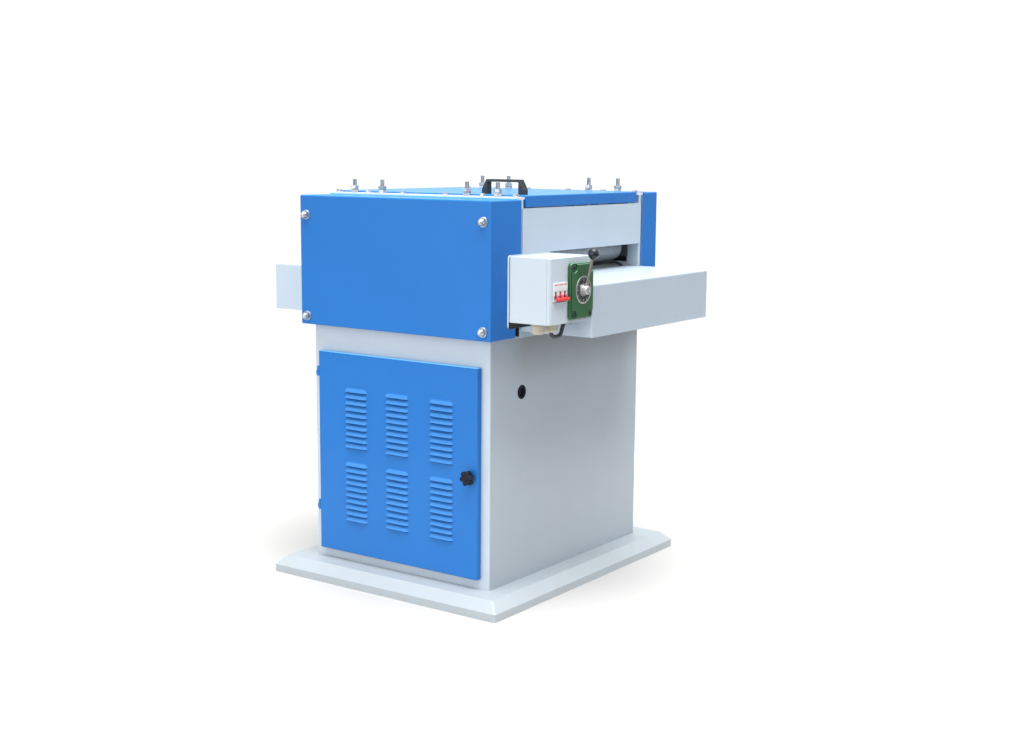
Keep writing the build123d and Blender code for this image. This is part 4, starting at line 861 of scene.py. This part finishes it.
# ================================================================= control box
BOX_X0, BOX_X1, BOX_Y0, BOX_Y1, BOX_Z0, BOX_Z1 = 381.0, 488.0, -410.0, -246.0, 695.0, 840.0
SW_Y, SW_Z = -296.3, 766.5
SW_Y0, SW_Y1, SW_Z0, SW_Z1, SW_X1 = -341.5, -251.5, 701.8, 827.3, 500.5
BR_Y0, BR_Y1, BR_Z0, BR_Z1 = -399.5, -345.5, 745.4, 787.0


def control_box():
    seam = 479.5
    # back part: four walls, bent at the corners
    s = Shape()
    for y0, y1, z0, z1 in ((BOX_Y0, BOX_Y0 + 2, BOX_Z0, BOX_Z1), (BOX_Y1 - 2, BOX_Y1, BOX_Z0, BOX_Z1),
                           (BOX_Y0 + 2, BOX_Y1 - 2, BOX_Z0, BOX_Z0 + 2), (BOX_Y0 + 2, BOX_Y1 - 2, BOX_Z1 - 2, BOX_Z1)):
        s.take(box(BOX_X0, seam - 0.35, y0, y1, z0, z1, 0.7, 2))
    s.done("control_case", ["white"], "frame", ["control_box"])
    # front cover: shallow tray whose near upright is a wide soft bend
    r = 7.0
    c = Shape()
    bm = bmesh.new()
    path = [(seam + 0.35, BOX_Y0)]
    for k in range(9):
        a = math.radians(90 * k / 8)
        path.append((BOX_X1 - r + r * math.sin(a), BOX_Y0 + r - r * math.cos(a)))
    path += [(BOX_X1, BOX_Y1 - 1.5), (BOX_X1 - 0.5, BOX_Y1 - 0.4), (BOX_X1 - 1.5, BOX_Y1), (seam + 0.35, BOX_Y1)]
    lower = [bm.verts.new((p[0], p[1], BOX_Z0)) for p in path]
    upper = [bm.verts.new((p[0], p[1], BOX_Z1)) for p in path]
    for i in range(len(path) - 1):
        bm.faces.new((lower[i], lower[i + 1], upper[i + 1], upper[i]))
    bm.faces.new(upper)
    bm.faces.new(list(reversed(lower)))
    bmesh.ops.recalc_face_normals(bm, faces=bm.faces)
    bm.normal_update()
    rim = [e for e in bm.edges if len(e.link_faces) == 2 and e.calc_face_angle(0) > math.radians(70)
           and (all(abs(v.co.z - BOX_Z1) < 1e-4 for v in e.verts) or all(abs(v.co.z - BOX_Z0) < 1e-4 for v in e.verts))]
    bevel(bm, rim, 1.8, 3)
    c.take(bm)
    ob = c.done("control_cover", ["white"], "frame", (), sharp=40)
    sh = ob.modifiers.new("sheet", "SOLIDIFY")
    sh.thickness = 1.6 * MM
    sh.offset = -1.0
    ob.modifiers.move(1, 0)
    # strips between the box and its back plate: a grey one along the side, and a black one below the box as painted
    # shade under it
    w = Shape()
    for y0, y1, z0, z1, tint in ((-411.5, BOX_Y0 + 1, BOX_Z0 + 1, BOX_Z1 + 0.6, 1), (-412.6, -247.0, 679.9, BOX_Z0 + 1, 0)):
        w.take(box(BOX_X0 - 0.1, BOX_X0 + 0.9, y0, y1, z0, z1, 0.25), tint)
    w.done("box_seal_and_shade", ["rubber", "gasket"], "frame", ())


control_box()


def breaker():
    s = Shape()
    pole = (BR_Y1 - BR_Y0) / 3
    x0 = BOX_X1
    for k in range(3):
        a, b = BR_Y0 + pole * k + 0.18, BR_Y0 + pole * (k + 1) - 0.18
        m = (a + b) / 2
        # upper shoulder, lower recess, cheeks beside the toggle slot
        s.take(box(x0 - 26, x0 + 3.5, a, b, BR_Z1 - 18.6, BR_Z1, 0.7), 0)
        s.take(box(x0 - 26, x0 + 1.0, a, b, BR_Z0, BR_Z0 + 4.5, 0.5), 0)
        for c0, c1 in ((a, m - 3.6), (m + 3.6, b)):
            s.take(box(x0 - 26, x0 + 2.6, c0, c1, BR_Z0 + 12.7, BR_Z1 - 18.1, 0.6), 0)
            s.take(box(x0 - 26, x0 + 1.0, c0, c1, BR_Z0 + 4.0, BR_Z0 + 13.1, 0.5), 0)
        # painted shade: grey back of each toggle slot
        s.take(box(x0 - 26, x0 - 4.2, m - 3.8, m + 3.8, BR_Z0 + 3.6, BR_Z1 - 17.7, 0.3), 3)
        # plain coloured strip along the top of each pole
        s.take(box(x0 + 3.2, x0 + 3.62, a + 1.9, b - 1.9, BR_Z1 - 5.4, BR_Z1 - 3.4, 0.1), 2)
        # body of each pole behind the nose, inside the box
        s.take(box(x0 - 60, x0 - 26, a, b, 722, 806, 0.8), 0)
    # painted shadow: dark strip under the breaker's lower edge
    s.take(box(x0 - 3.0, x0 + 0.12, BR_Y0 - 0.2, BR_Y1 + 0.2, BR_Z0 - 1.6, BR_Z0 - 0.1, 0.05), 1)
    s.take(box(x0 - 76, x0 - 60, BR_Y0 + 0.4, BR_Y1 - 0.4, 726, 802, 0.8), 0)
    s.take(box(BOX_X0, x0 - 76, BR_Y0 + 4, BR_Y1 - 4, 746.5, 781.5, 0.5), 0)
    s.done("breaker_case", ["breaker", "dark", "red", "recess"], "frame", ["breaker_body"])
    # levers and their tie bar
    g = Shape()
    tx, tz = BOX_X1 - 0.5, BR_Z0 + 19.1
    for k in range(3):
        m = BR_Y0 + 9 + 18 * k
        g.take(cylinder((tx, 0, tz), "y", m - 2.6, m + 2.6, 2.6, 0.5, 28), 1)
        outline = [(tz + 1.6, tx - 0.4), (tz - 3.8, tx + 3.4), (tz - 8.4, tx + 6.8), (tz - 11.4, tx + 11.4), (tz - 16.2, tx + 9.2), (tz - 11.5, tx + 4.5), (tz - 4.5, tx - 3)]
        g.take(plate(outline, "y", m - 2.9, m + 2.9, 0.7, 2), 1)
    bar = rounded_rect(tz - 17.4, tz - 9.9, tx + 5.8, tx + 12.8, 2.6, 5)
    g.take(plate(bar, "y", BR_Y0 + 5.4, BR_Y1 - 3.8, 0.9, 3), 0)
    # painted shade: darker red disc in the hollow end of the tie bar
    g.take(cylinder((tx + 9.3, 0, tz - 13.6), "y", BR_Y0 + 5.3, BR_Y0 + 6.4, 2.1, 0.05, 24), 1)
    g.done("breaker_levers", ["red", "crimson"], "breaker_lever", ["breaker_toggle"])


breaker()


def rotary_switch():
    s = Shape()
    # cast base with soft edges
    base = rounded_rect(SW_Y0, SW_Y1, SW_Z0, SW_Z1, 9.0, 7)
    # painted highlight: upward faces that lean towards +X take the pale green
    def lit(bm):
        bmesh.ops.recalc_face_normals(bm, faces=bm.faces)
        for f in bm.faces:
            f.material_index = 3 if f.normal.z > 0.5 and f.normal.x > 0.12 else 0
        s.take(bm, None)

    lit(plate(base, "x", BOX_X1, BOX_X1 + 8.6, 2.6, 4))
    # raised panel: the corners are scooped away round the screws
    corners = [((SW_Y0 + SW_Y1) / 2 + sy * 34.4, (SW_Z0 + SW_Z1) / 2 + sz * 52.7, sy, sz) for sy, sz in ((1, 1), (-1, 1), (-1, -1), (1, -1))]
    y0, y1, z0, z1 = SW_Y0 + 3.2, SW_Y1 - 3.2, SW_Z0 + 3.2, SW_Z1 - 3.2
    r = 11.2
    outline = []
    for cy, cz, sy, sz in corners:
        ey, ez = (y1 if sy > 0 else y0), (z1 if sz > 0 else z0)
        # arc from the upright edge to the level edge round the screw, bulging inwards
        ay = math.sqrt(max(0.0, r * r - (ez - cz) ** 2))
        az = math.sqrt(max(0.0, r * r - (ey - cy) ** 2))
        p0 = (ey, cz - sz * az)
        p1 = (cy - sy * ay, ez)
        a0 = math.atan2(p0[1] - cz, p0[0] - cy)
        a1 = math.atan2(p1[1] - cz, p1[0] - cy)
        if sy * sz > 0:
            while a1 > a0:
                a1 -= TAU
        else:
            while a1 < a0:
                a1 += TAU
        arc = [(cy + r * math.cos(a0 + (a1 - a0) * k / 9), cz + r * math.sin(a0 + (a1 - a0) * k / 9)) for k in range(10)]
        outline += arc if sy * sz > 0 else list(reversed(arc))
    lit(plate(outline, "x", BOX_X1 + 8.0, SW_X1, 1.8, 4))
    # screws in the scoops
    for cy, cz, sy, sz in corners:
        s.take(rings((BOX_X1, cy, cz), "x", [(8.4, 0), (8.4, 4.9), (8.62, 4.9), (8.62, 0)], 28), 1)
        head = [(8.6, 0), (8.6, 4.1), (10.6, 4.1), (11.3, 3.4), (11.3, 2.1), (9.8, 1.9), (9.8, 0)]
        s.take(rings((BOX_X1, cy, cz), "x", head, 28), 2)
    s.take(cylinder((0, SW_Y, SW_Z), "x", BOX_X1 - 52, BOX_X1 + 1, 30.0, 1.0, 48), 1)
    s.done("switch_casting", ["green", "dark", "black", "green_highlight"], "frame", ["switch_body"])

    d = Shape()
    c = (SW_X1, SW_Y, SW_Z)
    d.take(rings(c, "x", [(0, 27.8), (0, 31.0), (1.0, 31.0), (1.6, 30.4), (1.6, 28.6), (1.1, 27.8)], 72, closed=True), 1)
    d.take(rings(c, "x", [(-0.1, 12.4), (-0.1, 28.2), (0.75, 28.2), (0.75, 12.4)], 72, closed=True), 0)
    for k in range(12):
        a = math.radians(30 * k)
        u, v = math.cos(a), math.sin(a)
        w, l0, l1 = (1.25, 20.6, 26.6) if k % 3 == 0 else (0.8, 23.2, 26.6)
        pts = []
        for rr, ss in ((l0, -w), (l1, -w), (l1, w), (l0, w)):
            pts.append((u * rr - v * ss, v * rr + u * ss))
        d.take(plate([(SW_Y + p[0], SW_Z + p[1]) for p in pts], "x", SW_X1 + 0.6, SW_X1 + 1.1, 0.12, 1), 1)
    for k in range(12):
        a = math.radians(30 * k + 15)
        d.take(rings((SW_X1, SW_Y + 24.6 * math.cos(a), SW_Z + 24.6 * math.sin(a)), "x", [(0.5, 0), (0.5, 0.75), (1.05, 0.7), (1.05, 0)], 12), 1)
    d.take(rings(c, "x", [(0.5, 12.5), (0.5, 14.6), (1.15, 14.3), (1.15, 12.5)], 48, closed=True), 1)
    d.done("dial_face", ["dial", "dial_mark"], "frame", ["switch_dial"])

    # three plain numerals on the dial
    for text, ang in (("0", 90), ("1", 150), ("2", 30)):
        cu = bpy.data.curves.new("numeral_" + text, "FONT")
        cu.body = text
        cu.size = 7.6 * MM
        cu.extrude = 0.28 * MM
        cu.align_x, cu.align_y = "CENTER", "CENTER"
        tmp = bpy.data.objects.new("numeral_curve_" + text, cu)
        bpy.context.scene.collection.objects.link(tmp)
        bpy.context.view_layer.update()
        me = bpy.data.meshes.new_from_object(tmp.evaluated_get(bpy.context.evaluated_depsgraph_get()))
        bpy.data.objects.remove(tmp)
        ob = bpy.data.objects.new("dial_numeral_" + text, me)
        me.materials.clear()
        me.materials.append(M["dial_mark"])
        a = math.radians(ang)
        rot = Matrix(((0, 0, 1, 0), (1, 0, 0, 0), (0, 1, 0, 0), (0, 0, 0, 1)))
        me.transform(Matrix.Translation(((SW_X1 + 0.9) * MM, (SW_Y + 18.0 * math.cos(a)) * MM, (SW_Z + 18.0 * math.sin(a)) * MM)) @ rot)
        bpy.context.scene.collection.objects.link(ob)
        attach(ob, "frame")

    g = Shape()
    x = SW_X1
    hub = [(0.35, 0), (0.35, 11.6), (0.8, 12.0), (2.4, 12.0), (3.2, 11.5), (4.0, 11.3), (8.0, 10.8), (11.6, 10.2), (13.0, 9.6), (14.0, 8.4), (14.5, 7.0), (14.5, 3.6), (13.8, 3.2), (13.8, 0)]
    g.take(rings((x, SW_Y, SW_Z), "x", hub, 56), 0)
    foot, ball = Vector((506.5, SW_Y, SW_Z + 4)), Vector((526.0, SW_Y, 848.5))
    along = (ball - foot).normalized()
    length = (ball - foot).length
    g.take(rings(foot, along, [(0, 0), (0, 4.5), (9.2, 4.5), (9.9, 4.2), (10.3, 3.6), (length - 18, 3.5), (length - 9, 3.5), (length - 8, 0)], 28), 1)
    g.done("lever_arm", ["hub", "rod"], "switch_handle", ["switch_lever"])
    b = Shape()
    rows = [(-14.4, 0), (-14.4, 4.5), (-14.1, 4.8), (-12.9, 5.0)]
    for k in range(1, 25):
        a = math.radians(-67 + 157 * k / 24)
        rows.append((12.6 * math.sin(a) - 1.2, max(0.0, 12.6 * math.cos(a)) if k < 24 else 0.0))
    b.take(rings(ball, along, rows, 48), 0)
    b.done("lever_knob", ["ball"], "switch_handle", ["lever_ball"], weighted=False)


rotary_switch()


def fittings():
    s = Shape()
    gx = 434.5
    for gy in (-375.0, -325.0):
        # hexagon collar under the box, ribbed dome nut below it
        s.take(hex_nut((gx, gy, 0), "z", 689.5, 695.0, 30.0, segs=48, phase=0.2), 0)

        def ribs(r, cut):
            return lambda a: r - cut * (0.5 - 0.5 * math.cos(14 * a)) ** 2
        rows = [(690.2, 0), (690.2, 14.4), (689.0, ribs(16.0, 0.0)), (687.6, ribs(16.3, 0.6)), (678.0, ribs(16.0, 0.6)),
                (674.6, ribs(15.2, 0.5)), (672.0, ribs(13.8, 0.3)), (670.4, ribs(12.0, 0.1)), (669.6, 10.2), (669.5, 9.0), (670.4, 8.2), (670.4, 0)]
        s.take(rings((gx, gy, 0), "z", rows, 112), 0)
        s.take(hex_nut((gx, gy, 0), "z", 697.5, 702.5, 27.0, segs=48), 0)
        s.take(cylinder((gx, gy, 0), "z", 690.0, 706.0, 10.0, 0.5, 36), 0)
        s.take(rings((gx, gy, 0), "z", [(670.5, 0), (670.5, 8.0), (669.9, 7.4), (669.9, 0)], 32), 1)
    s.done("gland_set", ["beige", "rubber"], "frame", ["cable_fittings"], sharp=30)

    g = Shape()
    cx = 273.5
    lip = [(-6, 9.5), (-6, 16.4), (-5.0, 17.2), (-3.2, 17.0), (-3.0, 15.0), (0.0, 15.0), (0.1, 16.7), (0.6, 16.9), (1.1, 16.3), (1.3, 14.6),
           (0.9, 12.0), (0.0, 10.0)]
    g.take(rings((cx, -206.0, 502.0), "x", lip, 56, closed=True), 1)
    g.take(rings((cx, -206.0, 502.0), "x", [(-4.4, 0), (-4.4, 9.9), (-2.9, 9.9), (-3.3, 6.0), (-3.5, 0)], 48), 1)
    collar = [(0.2, 4.6), (0.2, 5.6), (0.5, 5.9), (4.0, 5.9), (4.0, 9.5), (6.0, 9.3), (6.5, 8.4), (6.5, 4.6)]
    g.take(rings((gx, -246.0, 687.4), "y", collar, 40, closed=True), 2)
    g.done("grommet_set", ["rubber", "plug", "collar"], "frame", ())

    # lead from the second gland in a short loop to the apron, then along its inside
    pts = [(gx, -325, 704), (gx, -325, 690), (gx, -325, 676), (gx, -324.6, 667.5), (gx, -320.0, 660.2), (gx, -310.0, 657.4), (gx, -297.0, 657.6),
           (gx, -286.5, 660.2), (gx, -281.5, 667.5), (gx, -278.0, 677.5), (gx, -272.5, 685.6), (gx, -263.0, 688.3), (gx, -250, 688.3), (gx, -238, 687.4),
           (gx - 2.5, -226.5, 687.4), (gx - 11, -221.2, 687.4), (gx - 24, -221, 687.4), (380, -221, 687.4), (302, -221, 687.4)]
    cu = bpy.data.curves.new("lead_route", "CURVE")
    cu.dimensions = "3D"
    sp = cu.splines.new("NURBS")
    sp.points.add(len(pts) - 1)
    for p, q in zip(sp.points, pts):
        p.co = (q[0] * MM, q[1] * MM, q[2] * MM, 1)
    sp.order_u = 3
    sp.use_endpoint_u = True
    sp.resolution_u = 8
    cu.bevel_depth = 4.5 * MM
    cu.bevel_resolution = 6
    cu.use_fill_caps = True
    ob = bpy.data.objects.new("control_lead", cu)
    cu.materials.append(M["lead"])
    bpy.context.scene.collection.objects.link(ob)
    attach(ob, "frame")
    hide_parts("control_cable")


    # dark strips behind the feet of the far guide slots, beside the far cover and in the notch of the near cover:
    # painted shade where the cover's inside and the gaps lie in shade
    w = Shape()
    for x in (-216.0, -126.0, 136.0, 226.0):
        w.take(box(x - 36, x + 36, 305.0, 306.2, 781.0, 816.0, 0.3))
    w.done("slot_shade_strips", ["rubber"], "frame", ())
    w = Shape()
    w.take(box(297.5, 297.9, 299.9, 301.3, 775.0, 957.4, 0.12))
    w.done("cover_gap_shade", ["gasket"], "frame", ())
    w = Shape()
    w.take(box(280.6, 294.3, -248.9, -248.02, 640.5, 691.5, 0.2))
    w.done("notch_shade_strip", ["rubber"], "frame", ())
    # turned-up lip of the near cover along the cap rail
    w = Shape()
    # painted highlight: the lip takes the light blue
    w.take(box(-284.3, 294.3, -260.5, -259.15, 957.8, 960.1, 0.45))
    w.done("cover_lip", ["edge_highlight"], "frame", ())


fittings()

# ================================================== finishes on the carried parts
FINISH = {
    "base_plinth": "plinth", "foot_plate": "steel", "cabinet_shell": "cabinet", "head_deck": "grey", "side_plate_near": "grey",
    "side_plate_far": "grey", "front_panel": "grey", "rear_panel": "grey", "cap_rails": "rail", "side_cover_near": "cover",
    "side_cover_far": "blue", "infeed_table": "table", "outfeed_table": "grey", "table_ties": "grey", "bed_plate": "plate",
    "box_back_plate": "white", "motor_housing": "motor", "drive_belts": "belt", "gearmotor": "motor", "feed_chains": "steel",
    "bearing_housings": "iron", "dust_chute": "grey", "door_hinge_leaves": "blue", "lid_hinge_leaves": "zinc", "latch_cam": "zinc",
    "top_lid": "lid", "saw_arbor": "turned", "saw_blades": "blade", "blade_spacers": "turned", "arbor_pulley": "iron",
    "motor_rotor": "turned", "motor_pulley": "iron", "drive_sprocket": "steel",
}
for i in range(1, 5):
    FINISH[f"lower_roller_{i}"] = "galv_brightened"
    FINISH[f"upper_roller_{i}"] = "galv"
for node, key in FINISH.items():
    ob = NODES[node]
    if not ob.material_slots:
        ob.data.materials.append(M[key])
    for sl in ob.material_slots:
        sl.material = M[key]
for node, ob in NODES.items():
    if node not in FINISH and not ob.hide_render:
        raise RuntimeError("no finish for " + node)

# =============================================================== floor and light
fl = bmesh.new()
N, R = 128, 1.8
centre = fl.verts.new((0, 0, 0))
ring_a = [fl.verts.new((R * math.cos(TAU * i / N), R * math.sin(TAU * i / N), 0)) for i in range(N)]
for i in range(N):
    fl.faces.new((centre, ring_a[i], ring_a[(i + 1) % N]))
me = bpy.data.meshes.new("studio_floor")
fl.to_mesh(me)
fl.free()
floor = bpy.data.objects.new("studio_floor", me)
me.materials.append(floor_finish("floor_pale"))
bpy.context.scene.collection.objects.link(floor)

world = bpy.data.worlds.new("studio")
bpy.context.scene.world = world
world.use_nodes = True
wt = world.node_tree
bg = wt.nodes["Background"]
bg.inputs["Strength"].default_value = 1.0
# pale dome overhead and pale backdrop behind the object, dimmer below the floor line elsewhere
ray = wt.nodes.new("ShaderNodeTexCoord")
facing = wt.nodes.new("ShaderNodeVectorMath")
facing.operation = "DOT_PRODUCT"
facing.inputs[1].default_value = (-0.580, 0.814, 0.0)
wt.links.new(ray.outputs["Generated"], facing.inputs[0])
backdrop = wt.nodes.new("ShaderNodeMapRange")
backdrop.inputs["From Min"].default_value = 0.66
backdrop.inputs["From Max"].default_value = 0.84
wt.links.new(facing.outputs["Value"], backdrop.inputs["Value"])
part = wt.nodes.new("ShaderNodeSeparateXYZ")
wt.links.new(ray.outputs["Generated"], part.inputs[0])
dome = wt.nodes.new("ShaderNodeMapRange")
dome.inputs["From Min"].default_value = -0.06
dome.inputs["From Max"].default_value = 0.03
dome.inputs["To Max"].default_value = 0.5
wt.links.new(part.outputs["Z"], dome.inputs["Value"])
lit = wt.nodes.new("ShaderNodeMath")
lit.operation = "MAXIMUM"
wt.links.new(backdrop.outputs["Result"], lit.inputs[0])
wt.links.new(dome.outputs["Result"], lit.inputs[1])
room = wt.nodes.new("ShaderNodeValToRGB")
stops = room.color_ramp.elements
stops[0].position, stops[0].color = 0.0, (0.30, 0.30, 0.30, 1)
stops[1].position, stops[1].color = 1.0, (1.03, 1.03, 1.03, 1)
stops.new(0.5).color = (0.85, 0.85, 0.85, 1)
wt.links.new(lit.outputs[0], room.inputs["Fac"])
wt.links.new(room.outputs["Color"], bg.inputs["Color"])


def sheet_light(name, source, strength, spread, colour):
    li = bpy.data.lights.new(name, "SUN")
    li.energy = strength * math.pi
    li.angle = math.radians(spread)
    li.color = colour
    ob = bpy.data.objects.new(name, li)
    ob.rotation_euler = (-Vector(source)).to_track_quat("-Z", "Y").to_euler()
    bpy.context.scene.collection.objects.link(ob)


sheet_light("overhead", (0.18, -0.08, 0.980), 1.8, 60, (1.0, 1.0, 1.0))
sheet_light("front_fill", (-0.15, -0.98, 0.12), 0.44, 60, (0.99, 1.0, 1.0))

# ====================================================================== camera
az, pitch, roll = math.radians(35.468), math.radians(8.821), math.radians(0.434)
fwd = Vector((-math.sin(az) * math.cos(pitch), math.cos(az) * math.cos(pitch), -math.sin(pitch)))
right = Vector((math.cos(az), math.sin(az), 0))
up = right.cross(fwd)
right, up = right * math.cos(roll) + up * math.sin(roll), up * math.cos(roll) - right * math.sin(roll)
cam = bpy.data.cameras.new("photo_view")
cam.sensor_width = 36.0
cam.sensor_fit = "HORIZONTAL"
cam.lens = 1440.90 / 1018 * 36.0
cam_ob = bpy.data.objects.new("photo_view", cam)
cam_ob.matrix_world = Matrix(((right.x, up.x, -fwd.x, 2.2104), (right.y, up.y, -fwd.y, -2.9771), (right.z, up.z, -fwd.z, 1.0685), (0, 0, 0, 1)))
bpy.context.scene.collection.objects.link(cam_ob)
bpy.context.scene.camera = cam_ob
bpy.context.scene.view_settings.view_transform = "Standard"
bpy.context.scene.view_settings.look = "None"

bpy.context.view_layer.update()
